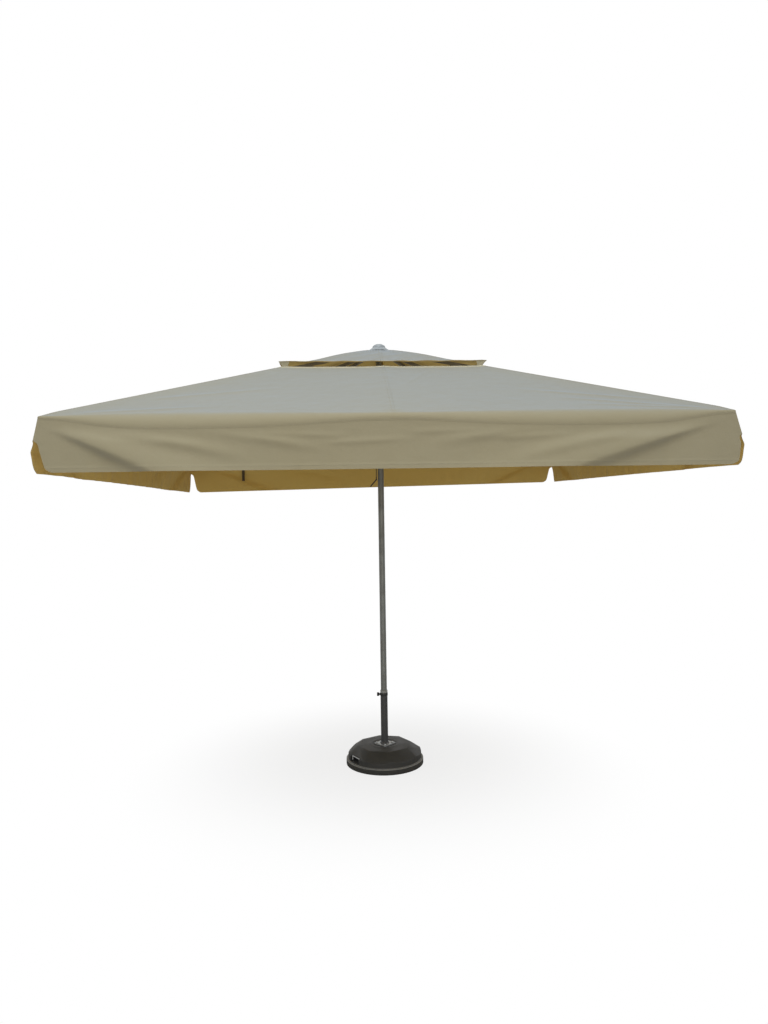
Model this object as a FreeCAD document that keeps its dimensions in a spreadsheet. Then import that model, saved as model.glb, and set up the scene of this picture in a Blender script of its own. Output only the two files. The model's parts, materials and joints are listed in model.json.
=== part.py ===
import FreeCAD, Part

import math
import os

import Sketcher
from FreeCAD import Placement, Rotation, Vector

os.makedirs("parts", exist_ok=True)
doc = FreeCAD.newDocument("patio_umbrella")

# Driving dimensions, millimetres and degrees
SIZES = {
    # base
    "foot_tall": 2.0,
    "foot_radius": 18.0,
    "foot_ring": 200.0,
    "rim_radius": 243.5,
    "rim_top": 34.0,
    "ledge_top": 38.0,
    "ledge_radius": 236.0,
    "side_low_radius": 232.0,
    "side_high_radius": 228.0,
    "deck_top": 118.0,
    "deck_corner_radius": 170.0,
    "facet_run": 73.0,
    "facet_fall": 53.0,
    "shell_wall": 3.0,
    "ring_radius": 87.0,
    "under_radius": 237.0,
    "cup_near": 190.0,
    "cup_far": 250.0,
    "cup_half": 48.0,
    "cup_floor": 42.0,
    "cup_top": 78.0,
    "cup_wall": 2.0,
    "cup_proud": 1.0,
    "bail_half": 41.0,
    "bail_reach": 22.0,
    "bail_wire": 2.5,
    "bail_pivot_r": 214.0,
    "bail_pivot_z": 49.5,
    "bail_dip": -90.0,
    # flange and stem
    "plate_side": 96.0,
    "plate_thick": 5.0,
    "bolt_square": 34.0,
    "bolt_radius": 4.0,
    "bolt_play": 0.4,
    "bolt_low": 82.0,
    "washer_thick": 1.5,
    "stem_outer": 22.25,
    "stem_inner": 20.2,
    "stem_top": 430.0,
    "collar_outer": 24.2,
    "collar_low": 424.0,
    "collar_high": 442.0,
    "knob_z": 433.0,
    "knob_radius": 11.5,
    "knob_near": 29.0,
    "knob_bore": 8.0,
    "boss_radius": 6.8,
    "screw_radius": 3.0,
    # mast
    "sleeve_outer": 20.15,
    "sleeve_inner": 19.06,
    "sleeve_low": 142.0,
    "sleeve_lip": 460.0,
    "pole_radius": 19.0,
    "pole_wall": 1.5,
    "pole_low": 124.0,
    "pole_high": 2585.0,
    "hub_low": 2560.0,
    "hub_high": 2598.0,
    "hub_radius": 30.0,
    "hinge_z": 2587.0,
    "mid_hinge": 50.0,
    "corner_hinge": 75.0,
    "fork_gap": 5.3,
    "fork_wall": 3.5,
    "fork_high": 18.0,
    "thread_radius": 4.0,
    "disc_radius": 73.0,
    "disc_low": 2612.0,
    "disc_high": 2624.0,
    "dome_radius": 41.5,
    "dome_top": 2649.0,
    # ribs and struts
    "tip_z": 2014.0,
    "mid_tip": 1490.0,
    "corner_tip": 2110.0,
    "rib_wide": 12.0,
    "rib_high": 20.0,
    "rib_wall": 1.2,
    "mid_bracket": 18.0,
    "corner_bracket": 42.0,
    "mid_reach": 580.0,
    "corner_reach": 524.91,
    "mid_strut": 580.0,
    "corner_strut": 579.13,
    "corner_strut_angle": 67.2,
    "strut_wide": 10.0,
    "strut_high": 12.0,
    "tongue_long": 20.0,
    "tube_start": 14.0,
    "tip_plug": 10.0,
    "hub_plug": 26.0,
    "eye_plug": 25.0,
    "pin_radius": 3.0,
    "head_over": 1.4,
    "head_thick": 1.2,
    "rivet_radius": 2.5,
    "bracket_wall": 3.0,
    "bracket_long": 24.0,
    "eye_play": 0.06,
    # runner
    "runner_outer": 27.0,
    "skirt_drop": 34.0,
    "skirt_grow": 4.0,
    "runner_over": 12.0,
    "bore_play": 0.06,
    "corner_lift": 55.0,
    "corner_pivot": 35.0,
    "slot_run": 5.0,
    "slot_play": 0.9,
    "lug_radius": 4.0,
    "lug_tall": 8.0,
    "cord_x": -29.0,
    "cord_y": -14.0,
    "cord_radius": 2.5,
    "cord_low": 1793.0,
    "lock_radius": 4.0,
    "lock_eye": 5.5,
    "lock_long": 55.0,
    "lock_lean": 41.0,
    # canopy
    "half_span": 1500.0,
    "vent_half": 550.0,
    "roof_apex": 2625.0,
    "roof_fall": 0.398,
    "cloth": 1.2,
    "cap_half": 577.0,
    "cap_edge": 2432.0,
    "valance_drop": 236.0,
    "valance_thick": 1.0,
    "notch_high": 134.0,
    "web_in": 3.0,
    "web_thick": 1.0,
    "web_wide_top": 42.0,
    "web_wide_foot": 16.0,
    "strap_x": -1080.0,
    "strap_wide": 22.0,
    "strap_thick": 1.6,
    "strap_gap": 4.0,
    "strap_top": 1936.0,
    "strap_low": 1847.0,
}
sheet = doc.addObject("Spreadsheet::Sheet", "Sizes")
for row, (alias, value) in enumerate(SIZES.items(), start=1):
    sheet.set(f"A{row}", alias)
    sheet.set(f"B{row}", str(value))
    sheet.setAlias(f"B{row}", alias)
doc.recompute()


def size(alias):
    """A driving dimension as the sheet holds it."""
    return float(sheet.get(alias))


X, Y, Z = Vector(1, 0, 0), Vector(0, 1, 0), Vector(0, 0, 1)
ORIGIN = Vector(0, 0, 0)


def place(at=ORIGIN, axis=Z, angle=0.0):
    """A placement that turns about an axis and then moves."""
    return Placement(Vector(*at), Rotation(axis, angle))


def bind(obj, rules):
    """Tie an object's properties to expressions on the sheet."""
    for prop, rule in rules.items():
        obj.setExpression(prop, rule)
    return obj


def dims(text):
    """Write bare aliases as references to the sheet: $rim_radius becomes Sizes.rim_radius."""
    return text.replace("$", "Sizes.")


def box(name, length, width, height, where=None):
    """A box whose three sides are sheet expressions."""
    obj = doc.addObject("Part::Box", name)
    bind(obj, {"Length": dims(length), "Width": dims(width), "Height": dims(height)})
    obj.Placement = where or Placement()
    return obj


def rod(name, radius, height, where=None):
    """A cylinder whose radius and height are sheet expressions."""
    obj = doc.addObject("Part::Cylinder", name)
    bind(obj, {"Radius": dims(radius), "Height": dims(height)})
    obj.Placement = where or Placement()
    return obj


def ball(name, radius, at):
    """A sphere whose radius is a sheet expression."""
    obj = doc.addObject("Part::Sphere", name)
    bind(obj, {"Radius": dims(radius)})
    obj.Placement = place(at)
    return obj


def fuse(name, pieces):
    """Join pieces into one body."""
    obj = doc.addObject("Part::MultiFuse", name)
    obj.Shapes = pieces
    obj.Refine = True
    return obj


def cut(name, base, tools):
    """Take tools away from a base."""
    obj = doc.addObject("Part::Cut", name)
    obj.Base = base
    obj.Tool = tools[0] if len(tools) == 1 else fuse(name + "_tools", tools)
    return obj


def group(name, pieces):
    """Hold identical pieces together as separate solids."""
    obj = doc.addObject("Part::Compound", name)
    obj.Links = pieces
    return obj


nodes = []


def node(obj, label, where=None):
    """Name an object as a handed-in part and place it."""
    obj.Label = label
    if where is not None:
        obj.Placement = where
    nodes.append((label, obj))
    return obj


def turned(name, outline, where=None):
    """A turned part: a closed outline of (radius, height) expressions, revolved about Z."""
    body = doc.addObject("PartDesign::Body", name)
    plane = next(f for f in body.Origin.OriginFeatures if f.Role == "XZ_Plane")
    sketch = body.newObject("Sketcher::SketchObject", name + "_outline")
    sketch.AttachmentSupport = [(plane, "")]
    sketch.MapMode = "FlatFace"
    rules = [(dims(r), dims(z)) for r, z in outline]
    points = [
        Vector(float(sheet.evalExpression(r)), float(sheet.evalExpression(z)), 0) for r, z in rules
    ]
    for start, end in zip(points, points[1:] + points[:1]):
        sketch.addGeometry(Part.LineSegment(start, end), False)
    count = len(points)
    for i in range(count):
        sketch.addConstraint(Sketcher.Constraint("Coincident", i, 2, (i + 1) % count, 1))
    for i, (point, (radius, height)) in enumerate(zip(points, rules)):
        if point.x == 0:
            sketch.addConstraint(Sketcher.Constraint("PointOnObject", i, 1, -2))
        else:
            at = sketch.addConstraint(Sketcher.Constraint("DistanceX", -1, 1, i, 1, point.x))
            sketch.setExpression(f"Constraints[{at}]", radius)
        at = sketch.addConstraint(Sketcher.Constraint("DistanceY", -1, 1, i, 1, point.y))
        sketch.setExpression(f"Constraints[{at}]", height)
    doc.recompute()
    feature = body.newObject("PartDesign::Revolution", name + "_turn")
    feature.Profile = sketch
    feature.ReferenceAxis = (sketch, ["V_Axis"])
    feature.Angle = 360.0
    body.Tip = feature
    body.Placement = where or Placement()
    return body


# ---------------------------------------------------------------- base
FIRST_FACET = 31.5
CUP_TURNS = {"left": 211.5, "right": 31.5}
ABOVE_DECK = 130.0
SLAB_SIDE = 400.0
SLAB_TALL = 120.0
facet_slope = math.degrees(math.atan2(size("facet_fall"), size("facet_run")))


def above_facet(name, turn, lift):
    """A thick slab lying on one facet of the deck, raised by a vertical lift."""
    reach = size("deck_corner_radius") * math.cos(math.radians(22.5))
    frame = place((0, 0, 0), Z, turn).multiply(
        place((reach, 0, size("deck_top") + lift), Y, facet_slope)
    )
    slab = box(name, f"{SLAB_SIDE}", f"{SLAB_SIDE}", f"{SLAB_TALL}")
    slab.Placement = frame.multiply(place((-SLAB_SIDE / 2, -SLAB_SIDE / 2, 0)))
    return slab


def deck_form(name, inset):
    """The base's outer form, or the same form set in by a wall: stepped rim and faceted deck."""
    wall = float(sheet.evalExpression(dims(inset)))
    skirt = turned(
        name + "_skirt",
        [
            ("0", f"$foot_tall + {inset}"),
            (f"$rim_radius - {inset}", f"$foot_tall + {inset}"),
            (f"$rim_radius - {inset}", f"$rim_top - 2 - {inset}"),
            (f"$rim_radius - 2 - {inset}", f"$rim_top - {inset}"),
            (f"$ledge_radius + 1.5 - {inset}", f"$rim_top - {inset}"),
            (f"$ledge_radius - {inset}", f"$ledge_top - {inset}"),
            ("0", f"$ledge_top - {inset}"),
        ],
    )
    side = turned(
        name + "_side",
        [
            ("0", f"$rim_top - {inset}"),
            (f"$side_low_radius - {inset}", f"$rim_top - {inset}"),
            (f"$side_high_radius - {inset}", f"$deck_top - {inset}"),
            ("0", f"$deck_top - {inset}"),
        ],
    )
    lift = -wall / math.cos(math.radians(facet_slope))
    slabs = [above_facet(f"{name}_facet_{i}", FIRST_FACET + 45.0 * i, lift) for i in range(8)]
    return fuse(name, [skirt, cut(name + "_deck", side, slabs)])


def cup_block(name, turn, wall, low, high):
    """The box of a grip cup, grown by a wall, standing at its bearing on the base."""
    at = Rotation(Z, turn).multVec(Vector(size("cup_near") - wall, -size("cup_half") - wall, low))
    return box(
        name,
        f"$cup_far - $cup_near + {2 * wall}",
        f"2 * $cup_half + {2 * wall}",
        f"{high - low}",
        place(at, Z, turn),
    )


bolt_spots = [
    (sx * size("bolt_square"), sy * size("bolt_square")) for sx in (1, -1) for sy in (1, -1)
]
FLANGE_TURN = 45.0


def bolt_holes(name, radius, low, high):
    """Four holes through the flange's corners."""
    holes = []
    for i, (px, py) in enumerate(bolt_spots):
        at = Rotation(Z, FLANGE_TURN).multVec(Vector(px, py, low))
        holes.append(rod(f"{name}_{i}", radius, f"{high - low}", place(at)))
    return holes


cups_in_shell = [cup_block(f"shell_cup_{k}", t, 0.0, size("cup_floor"), size("cup_top"))
                 for k, t in CUP_TURNS.items()]
cups_in_ballast = [cup_block(f"ballast_cup_{k}", t, 0.0, size("cup_floor"), size("cup_top"))
                   for k, t in CUP_TURNS.items()]
outer_form = deck_form("shell_outer", "0")
inner_form = deck_form("shell_inner", "$shell_wall")
ballast_form = deck_form("ballast_outer", "$shell_wall")
mouth = rod("shell_mouth", "$rim_radius - $shell_wall", "10", place((0, 0, -2)))
ring = cut(
    "deck_ring",
    rod("ring_outer", "$ring_radius", "3", place((0, 0, size("deck_top") - 2))),
    [rod("ring_inner", "$ring_radius - 4", "4", place((0, 0, size("deck_top") - 2.5)))],
)
shell = cut(
    "shell_cut",
    fuse("shell_with_ring", [outer_form, ring]),
    [inner_form, mouth, *cups_in_shell,
     *bolt_holes("shell_bolt", "$bolt_radius", size("bolt_low"), ABOVE_DECK)],
)
node(shell, "base_shell")
ballast = cut(
    "ballast_cut",
    ballast_form,
    [*cups_in_ballast, *bolt_holes("ballast_bolt", "$bolt_radius", size("bolt_low") - 2, ABOVE_DECK)],
)
node(ballast, "ballast")
node(
    turned(
        "under_plate",
        [
            ("0", "$foot_tall"),
            ("$under_radius", "$foot_tall"),
            ("$under_radius", "$foot_tall + $shell_wall"),
            ("0", "$foot_tall + $shell_wall"),
        ],
    ),
    "base_underplate",
)
feet = []
for i in range(6):
    at = Rotation(Z, 60.0 * i).multVec(Vector(size("foot_ring"), 0, 0))
    feet.append(rod(f"foot_{i}", "$foot_radius", "$foot_tall", place(at)))
node(group("feet", feet), "base_feet")

cups = []
for key, turn in CUP_TURNS.items():
    block = cup_block(f"cup_block_{key}", turn, 0.0, size("cup_floor"), size("cup_top"))
    wall = size("cup_wall")
    hollow = cup_block(f"cup_hollow_{key}", turn, -wall, size("cup_floor") + wall,
                       size("cup_top") - wall)
    outside = cut(
        f"cup_outside_{key}",
        rod(f"cup_beyond_{key}", "$rim_radius + 60", f"{ABOVE_DECK}"),
        [rod(f"cup_within_{key}", "$side_low_radius + $cup_proud", f"{ABOVE_DECK}")],
    )
    spindle_at = Rotation(Z, turn).multVec(
        Vector(size("bail_pivot_r"), size("cup_half") + 2, size("bail_pivot_z"))
    )
    spindle = rod(f"cup_spindle_{key}", "$bail_wire + $eye_play", "2 * $cup_half + 4")
    spindle.Placement = Placement(spindle_at, Rotation(Z, turn).multiply(Rotation(X, 90)))
    above = above_facet(f"cup_trim_{key}", turn, size("cup_proud"))
    cups.append(cut(f"cup_{key}", block, [hollow, spindle, above, outside]))
node(group("cups", cups), "grip_cups")

for key, turn in CUP_TURNS.items():
    half, reach = size("bail_half"), size("bail_reach")
    along = Rotation(Y, size("bail_dip")).multVec(Vector(reach, 0, 0))
    start = size("cup_half") - 0.3
    pieces = [
        rod(f"bail_stub_a_{key}", "$bail_wire", "$cup_half - 0.3 - $bail_half",
            Placement(Vector(0, start, 0), Rotation(X, 90))),
        rod(f"bail_stub_b_{key}", "$bail_wire", "$cup_half - 0.3 - $bail_half",
            Placement(Vector(0, -half, 0), Rotation(X, 90))),
        rod(f"bail_bar_{key}", "$bail_wire", "2 * $bail_half",
            Placement(Vector(along.x, half, along.z), Rotation(X, 90))),
    ]
    for side in (half, -half):
        leg = Placement(Vector(0, side, 0), Rotation(Y, 90 + size("bail_dip")))
        pieces.append(rod(f"bail_leg_{key}_{side:.0f}", "$bail_wire", "$bail_reach", leg))
        pieces.append(ball(f"bail_elbow_{key}_{side:.0f}", "$bail_wire", (0, side, 0)))
        pieces.append(ball(f"bail_turn_{key}_{side:.0f}", "$bail_wire", (along.x, side, along.z)))
    bail = fuse(f"bail_{key}_wire", pieces)
    at = Rotation(Z, turn).multVec(Vector(size("bail_pivot_r"), 0, size("bail_pivot_z")))
    node(bail, f"bail_{key}", place(at, Z, turn))

flange = box("flange_block", "$plate_side", "$plate_side", "$plate_thick")
flange_at = Rotation(Z, FLANGE_TURN).multVec(
    Vector(-size("plate_side") / 2, -size("plate_side") / 2, size("deck_top"))
)
flange.Placement = place(flange_at, Z, FLANGE_TURN)
flange_holes = bolt_holes("flange_bolt", "$bolt_radius + $bolt_play", size("deck_top") - 8, ABOVE_DECK)
node(cut("flange", flange, flange_holes), "mounting_plate")
bolts = []
plate_top = size("deck_top") + size("plate_thick")
for i, (px, py) in enumerate(bolt_spots):
    at = Rotation(Z, FLANGE_TURN).multVec(Vector(px, py, 0))
    head = doc.addObject("Part::Prism", f"bolt_head_{i}")
    head.Polygon = 6
    bind(head, {"Circumradius": dims("$bolt_radius * 1.8"), "Height": dims("$bolt_radius * 1.3")})
    head.Placement = place((at.x, at.y, plate_top + size("washer_thick")))
    washer = rod(f"bolt_washer_{i}", "$bolt_radius * 2.1", "$washer_thick",
                 place((at.x, at.y, plate_top)))
    shank = rod(f"bolt_shank_{i}", "$bolt_radius", "$deck_top + $plate_thick + 1 - $bolt_low",
                place((at.x, at.y, size("bolt_low"))))
    bolts.append(fuse(f"bolt_{i}", [shank, washer, head]))
node(group("bolts", bolts), "plate_bolts")

# ---------------------------------------------------------------- stem, collar, knob
stem = turned(
    "stem_wall",
    [
        ("$stem_inner", "$deck_top + $plate_thick"),
        ("$stem_outer + 7", "$deck_top + $plate_thick"),
        ("$stem_outer + 5.5", "$deck_top + $plate_thick + 4"),
        ("$stem_outer", "$deck_top + $plate_thick + 11"),
        ("$stem_outer", "$stem_top"),
        ("$stem_inner", "$stem_top"),
    ],
)


def radial(name, radius, near, far, height):
    """A rod lying along -X between two distances from the pole's axis."""
    obj = rod(name, radius, f"{far - near}")
    obj.Placement = place((-near, 0, height), Y, -90)
    return obj


knob_z = size("knob_z")
node(stem, "stem_tube")
collar_ring = turned(
    "collar_ring",
    [
        ("$stem_outer", "$collar_low"),
        ("$collar_outer - 1", "$collar_low"),
        ("$collar_outer", "$collar_low + 1"),
        ("$collar_outer", "$collar_high - 1.5"),
        ("$collar_outer - 1.5", "$collar_high"),
        ("$stem_inner + 0.05", "$collar_high"),
        ("$stem_inner + 0.05", "$stem_top"),
        ("$stem_outer", "$stem_top"),
    ],
)
boss_ends = size("collar_outer") - 1.5, size("knob_near") - 1
collar_boss = radial("collar_boss", "$boss_radius", *boss_ends, knob_z)
node(
    cut(
        "collar",
        fuse("collar_body", [collar_ring, collar_boss]),
        [radial("collar_hole", "$screw_radius + $eye_play", 19.0, 33.0, knob_z)],
    ),
    "stem_collar",
)
node(
    radial("clamp_rod", "$screw_radius", size("sleeve_outer") + 0.15,
           size("knob_near") + size("knob_bore"), knob_z),
    "clamp_screw",
)
knob_body = turned(
    "knob_body",
    [
        ("$screw_radius", "0"),
        ("8", "0"),
        ("9.5", "2"),
        ("$knob_radius - 1", "3.5"),
        ("$knob_radius", "5"),
        ("$knob_radius", "13"),
        ("$knob_radius - 1.5", "15"),
        ("0", "15.5"),
        ("0", "$knob_bore"),
        ("$screw_radius", "$knob_bore"),
    ],
)
flutes = []
for i in range(6):
    at = Rotation(Z, 60.0 * i + 30).multVec(Vector(size("knob_radius") + 2.4, 0, 3.5))
    flutes.append(rod(f"knob_flute_{i}", "4.2", "14", place(at)))
node(
    cut("knob", knob_body, flutes),
    "clamp_knob",
    Placement(Vector(-size("knob_near"), 0, knob_z), Rotation(Y, -90)),
)

# ---------------------------------------------------------------- mast
node(
    turned(
        "sleeve",
        [
            ("$sleeve_inner", "$sleeve_low"),
            ("$sleeve_outer", "$sleeve_low"),
            ("$sleeve_outer", "$collar_high + 0.5"),
            ("$stem_outer + 0.6", "$collar_high + 0.5"),
            ("$stem_outer + 0.6", "$sleeve_lip - 2"),
            ("$stem_outer - 1.4", "$sleeve_lip"),
            ("$sleeve_inner", "$sleeve_lip"),
        ],
    ),
    "reducer_sleeve",
)
node(
    turned(
        "pole",
        [
            ("$pole_radius - $pole_wall", "$pole_low + 4"),
            ("$pole_radius", "$pole_low + 4"),
            ("$pole_radius", "$pole_high"),
            ("$pole_radius - $pole_wall", "$pole_high"),
        ],
    ),
    "pole_tube",
)
node(
    turned(
        "foot_plug",
        [
            ("0", "$pole_low"),
            ("$pole_radius - 1", "$pole_low"),
            ("$pole_radius", "$pole_low + 1"),
            ("$pole_radius", "$pole_low + 4"),
            ("$pole_radius - $pole_wall", "$pole_low + 4"),
            ("$pole_radius - $pole_wall", "$pole_low + 30"),
            ("0", "$pole_low + 30"),
        ],
    ),
    "pole_foot",
)

MIDS = {"right": 0.0, "back": 90.0, "left": 180.0, "front": 270.0}
CORNERS = {"back_right": 45.0, "back_left": 135.0, "front_left": 225.0, "front_right": 315.0}


def fork(name, turn, near, far, height, hole_r, slot=0.0):
    """Two cheeks standing out from a ring at a bearing, pierced for a pin or slotted."""
    high, gap = size("fork_high"), size("fork_gap")
    pieces = []
    for side in (1, -1):
        low = gap if side == 1 else -gap - size("fork_wall")
        cheek = box(f"{name}_{'p' if side == 1 else 'n'}", f"{far - near + high / 2}",
                    "$fork_wall", f"{high}", place((near, low, height - high / 2)))
        pieces.append(cheek)
    reach = 2 * (gap + size("fork_wall")) + 2
    hole = rod(name + "_hole", hole_r, f"{reach}",
               Placement(Vector(far, reach / 2, height), Rotation(X, 90)))
    holes = [hole]
    if slot:
        end = rod(name + "_slot_end", hole_r, f"{reach}",
                  Placement(Vector(far + slot, reach / 2, height), Rotation(X, 90)))
        gate = box(name + "_slot", f"{slot}", f"{reach}", f"2 * ({hole_r})",
                   place((far, -reach / 2, height - float(sheet.evalExpression(dims(hole_r))))))
        holes += [end, gate]
    drilled = cut(name + "_drilled", fuse(name + "_pair", pieces), holes)
    drilled.Placement = place((0, 0, 0), Z, turn)
    return drilled


hinge_z = size("hinge_z")
hub_core = cut(
    "hub_core",
    rod("hub_drum", "$hub_radius", "$hub_high - $hub_low", place((0, 0, size("hub_low")))),
    [rod("hub_bore", "$pole_radius", "$pole_high - $hub_low",
         place((0, 0, size("hub_low")))),
     rod("hub_thread", "$thread_radius", "60", place((0, 0, size("hub_low"))))],
)
hub_pieces = [hub_core]
pins = []
for name, turn in {**MIDS, **CORNERS}.items():
    radius = size("mid_hinge") if name in MIDS else size("corner_hinge")
    hub_pieces.append(
        fork(f"hub_{name}", turn, size("hub_radius") - 3, radius, hinge_z, "$pin_radius")
    )
    half = size("fork_gap") + size("fork_wall")
    pin = rod(f"hub_pin_{name}", "$pin_radius", "2 * ($fork_gap + $fork_wall)",
              Placement(Vector(0, half, 0), Rotation(X, 90)))
    heads = [
        rod(f"hub_pin_{name}_{k}", "$pin_radius + $head_over", "$head_thick",
            Placement(Vector(0, y, 0), Rotation(X, 90)))
        for k, y in enumerate((half + size("head_thick"), -half))
    ]
    whole = fuse(f"hub_pin_{name}_whole", [pin, *heads])
    whole.Placement = place((0, 0, 0), Z, turn).multiply(place((radius, 0, hinge_z)))
    pins.append(whole)
node(fuse("hub_casting", hub_pieces), "hub")
node(group("hub_pin_set", pins), "hub_pins")

node(
    turned(
        "finial_plate",
        [
            ("$thread_radius", "$disc_low"),
            ("$dome_radius", "$disc_low"),
            ("$disc_radius - 1", "$disc_low - 12"),
            ("$disc_radius", "$disc_low - 10.5"),
            ("$dome_radius + 2", "$disc_high"),
            ("$thread_radius", "$disc_high"),
        ],
    ),
    "finial_disc",
)
node(
    turned(
        "finial_cap",
        [
            ("0", "$hub_high - 12"),
            ("$thread_radius", "$hub_high - 12"),
            ("$thread_radius", "$disc_high"),
            ("$dome_radius", "$disc_high"),
            ("$dome_radius", "$disc_high + 3"),
            ("$dome_radius - 3", "$dome_top - 14"),
            ("$dome_radius - 10", "$dome_top - 8"),
            ("$dome_radius - 20", "$dome_top - 3"),
            ("$dome_radius - 31", "$dome_top - 0.6"),
            ("0", "$dome_top"),
        ],
    ),
    "finial_dome",
)

# ---------------------------------------------------------------- ribs and struts
mid_slope = math.degrees(
    math.atan2(size("hinge_z") - size("tip_z"), size("mid_tip") - size("mid_hinge"))
)
corner_slope = math.degrees(
    math.atan2(size("hinge_z") - size("tip_z"), size("corner_tip") - size("corner_hinge"))
)


def rib_frame(name, turn):
    """The placement of a rib's own axes: X runs out along the rib from its hinge."""
    mid = name in MIDS
    radius = size("mid_hinge") if mid else size("corner_hinge")
    slope = mid_slope if mid else corner_slope
    return place((0, 0, 0), Z, turn).multiply(place((radius, 0, hinge_z), Y, slope))


def rib(name, turn):
    """One rib: a box-section tube with a hub tongue, a riveted strut bracket and a closed tip."""
    mid = name in MIDS
    tip = size("mid_tip") if mid else size("corner_tip")
    radius = size("mid_hinge") if mid else size("corner_hinge")
    long = math.hypot(tip - radius, size("hinge_z") - size("tip_z")) - 4.0
    drop = size("mid_bracket") if mid else size("corner_bracket")
    reach = size("mid_reach") if mid else size("corner_reach")
    pivot = math.sqrt(reach**2 - drop**2) if mid else reach
    half_w, half_h = size("rib_wide") / 2, size("rib_high") / 2
    key = f"rib_{name}"
    start, wall = size("tube_start"), size("rib_wall")
    hollow = start + size("hub_plug")
    tube = cut(
        key + "_tube",
        box(key + "_outer", f"{long - start}", "$rib_wide", "$rib_high",
            place((start, -half_w, -half_h))),
        [box(key + "_inner", f"{long - hollow} - $tip_plug", "$rib_wide - 2 * $rib_wall",
             "$rib_high - 2 * $rib_wall", place((hollow, -half_w + wall, -half_h + wall)))],
    )
    eye_y, eye_z = size("strut_wide") / 2, size("fork_high") / 2
    tongue = box(key + "_tongue", "$tongue_long", "$strut_wide", "$fork_high",
                 place((0, -eye_y, -eye_z)))
    eye = rod(key + "_eye", "$fork_high / 2", "$strut_wide",
              Placement(Vector(0, eye_y, 0), Rotation(X, 90)))
    pieces = [tube, tongue, eye]
    half = size("fork_gap") + size("bracket_wall")
    for side in (1, -1):
        low = size("fork_gap") if side == 1 else -half
        pieces.append(box(f"{key}_cheek_{side}", "$bracket_long", "$bracket_wall", f"{drop + 11}",
                          place((pivot - size("bracket_long") / 2, low, -drop - 8))))
    rivet = rod(key + "_rivet", "$rivet_radius", f"{2 * half}",
                Placement(Vector(pivot, half, -drop), Rotation(X, 90)))
    pieces.append(rivet)
    for k, y in enumerate((half + size("head_thick"), -half)):
        pieces.append(rod(f"{key}_rivet_{k}", "$rivet_radius + $head_over", "$head_thick",
                          Placement(Vector(pivot, y, -drop), Rotation(X, 90))))
    bore = rod(key + "_bore", "$pin_radius + $eye_play", "12",
               Placement(Vector(0, 6, 0), Rotation(X, 90)))
    whole = cut(key + "_whole", fuse(key + "_body", pieces), [bore])
    frame = rib_frame(name, turn)
    node(whole, key, frame)
    return frame.multVec(Vector(pivot, 0, -drop))


def strut(name, turn, upper):
    """One strut: a box-section tube with an eye at each end, from a rib down to the runner."""
    mid = name in MIDS
    long = size("mid_strut") if mid else size("corner_strut")
    key = f"strut_{name}"
    half_w, half_h = size("strut_wide") / 2, size("strut_high") / 2
    radial_at = math.hypot(upper.x, upper.y)
    if mid:
        lean = math.degrees(math.asin((radial_at - size("mid_hinge")) / long))
    else:
        lean = size("corner_strut_angle")
    tube = cut(
        key + "_tube",
        box(key + "_outer", f"{long}", "$strut_wide", "$strut_high", place((0, -half_w, -half_h))),
        [box(key + "_inner", f"{long} - 2 * $eye_plug", "$strut_wide - 2 * $rib_wall",
             "$strut_high - 2 * $rib_wall",
             place((size("eye_plug"), -half_w + size("rib_wall"), -half_h + size("rib_wall"))))],
    )
    eyes = [
        rod(f"{key}_eye_{k}", "$strut_high / 2 + 0.8", "$strut_wide",
            Placement(Vector(x, half_w, 0), Rotation(X, 90)))
        for k, x in enumerate((0.0, long))
    ]
    bores = [rod(key + "_bore_top", "$rivet_radius + $eye_play", "12",
                 Placement(Vector(0, 6, 0), Rotation(X, 90)))]
    body = fuse(key + "_body", [tube, *eyes])
    if mid:
        bores.append(rod(key + "_bore_low", "$pin_radius + $eye_play", "12",
                         Placement(Vector(long, 6, 0), Rotation(X, 90))))
        whole = cut(key + "_whole", body, bores)
    else:
        drilled = cut(key + "_drilled", body, bores)
        reach = size("fork_gap") + size("fork_wall") + 0.6
        pin = rod(key + "_pin", "$pin_radius", f"{2 * reach}",
                  Placement(Vector(long, reach, 0), Rotation(X, 90)))
        whole = fuse(key + "_whole", [drilled, pin])
    frame = place((0, 0, 0), Z, turn).multiply(place((radial_at, 0, upper.z), Y, 90 + lean))
    node(whole, key, frame)
    return frame.multVec(Vector(long, 0, 0))


lower = {}
for name, turn in {**MIDS, **CORNERS}.items():
    lower[name] = strut(name, turn, rib(name, turn))
runner_z = lower["right"].z

# ---------------------------------------------------------------- runner, locking pin
skirt_z = runner_z - size("skirt_drop")
runner_drum = turned(
    "runner_drum",
    [
        ("$pole_radius + $bore_play", f"{skirt_z:.4f}"),
        ("$runner_outer + $skirt_grow - 1", f"{skirt_z:.4f}"),
        ("$runner_outer + $skirt_grow", f"{skirt_z:.4f} + 2"),
        ("$runner_outer + $skirt_grow", f"{skirt_z:.4f} + 12"),
        ("$runner_outer", f"{skirt_z:.4f} + 16"),
        ("$runner_outer", f"{runner_z:.4f} + $corner_lift + $runner_over"),
        ("$pole_radius + $bore_play", f"{runner_z:.4f} + $corner_lift + $runner_over"),
    ],
)
runner_pieces = [runner_drum]
runner_pins = []
for name, turn in {**MIDS, **CORNERS}.items():
    mid = name in MIDS
    radius = size("mid_hinge") if mid else size("corner_pivot")
    height = runner_z if mid else runner_z + size("corner_lift")
    runner_pieces.append(
        fork(f"runner_{name}", turn, size("runner_outer") - 2, radius, height,
             "$pin_radius" if mid else "$pin_radius + $slot_play",
             0.0 if mid else size("slot_run"))
    )
    if mid:
        reach = size("fork_gap") + size("fork_wall") + 1
        across = Placement(Vector(radius, reach, height), Rotation(X, 90))
        runner_pins.append(rod(f"runner_pin_{name}", "$pin_radius", f"{2 * reach}",
                               place((0, 0, 0), Z, turn).multiply(across)))
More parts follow.
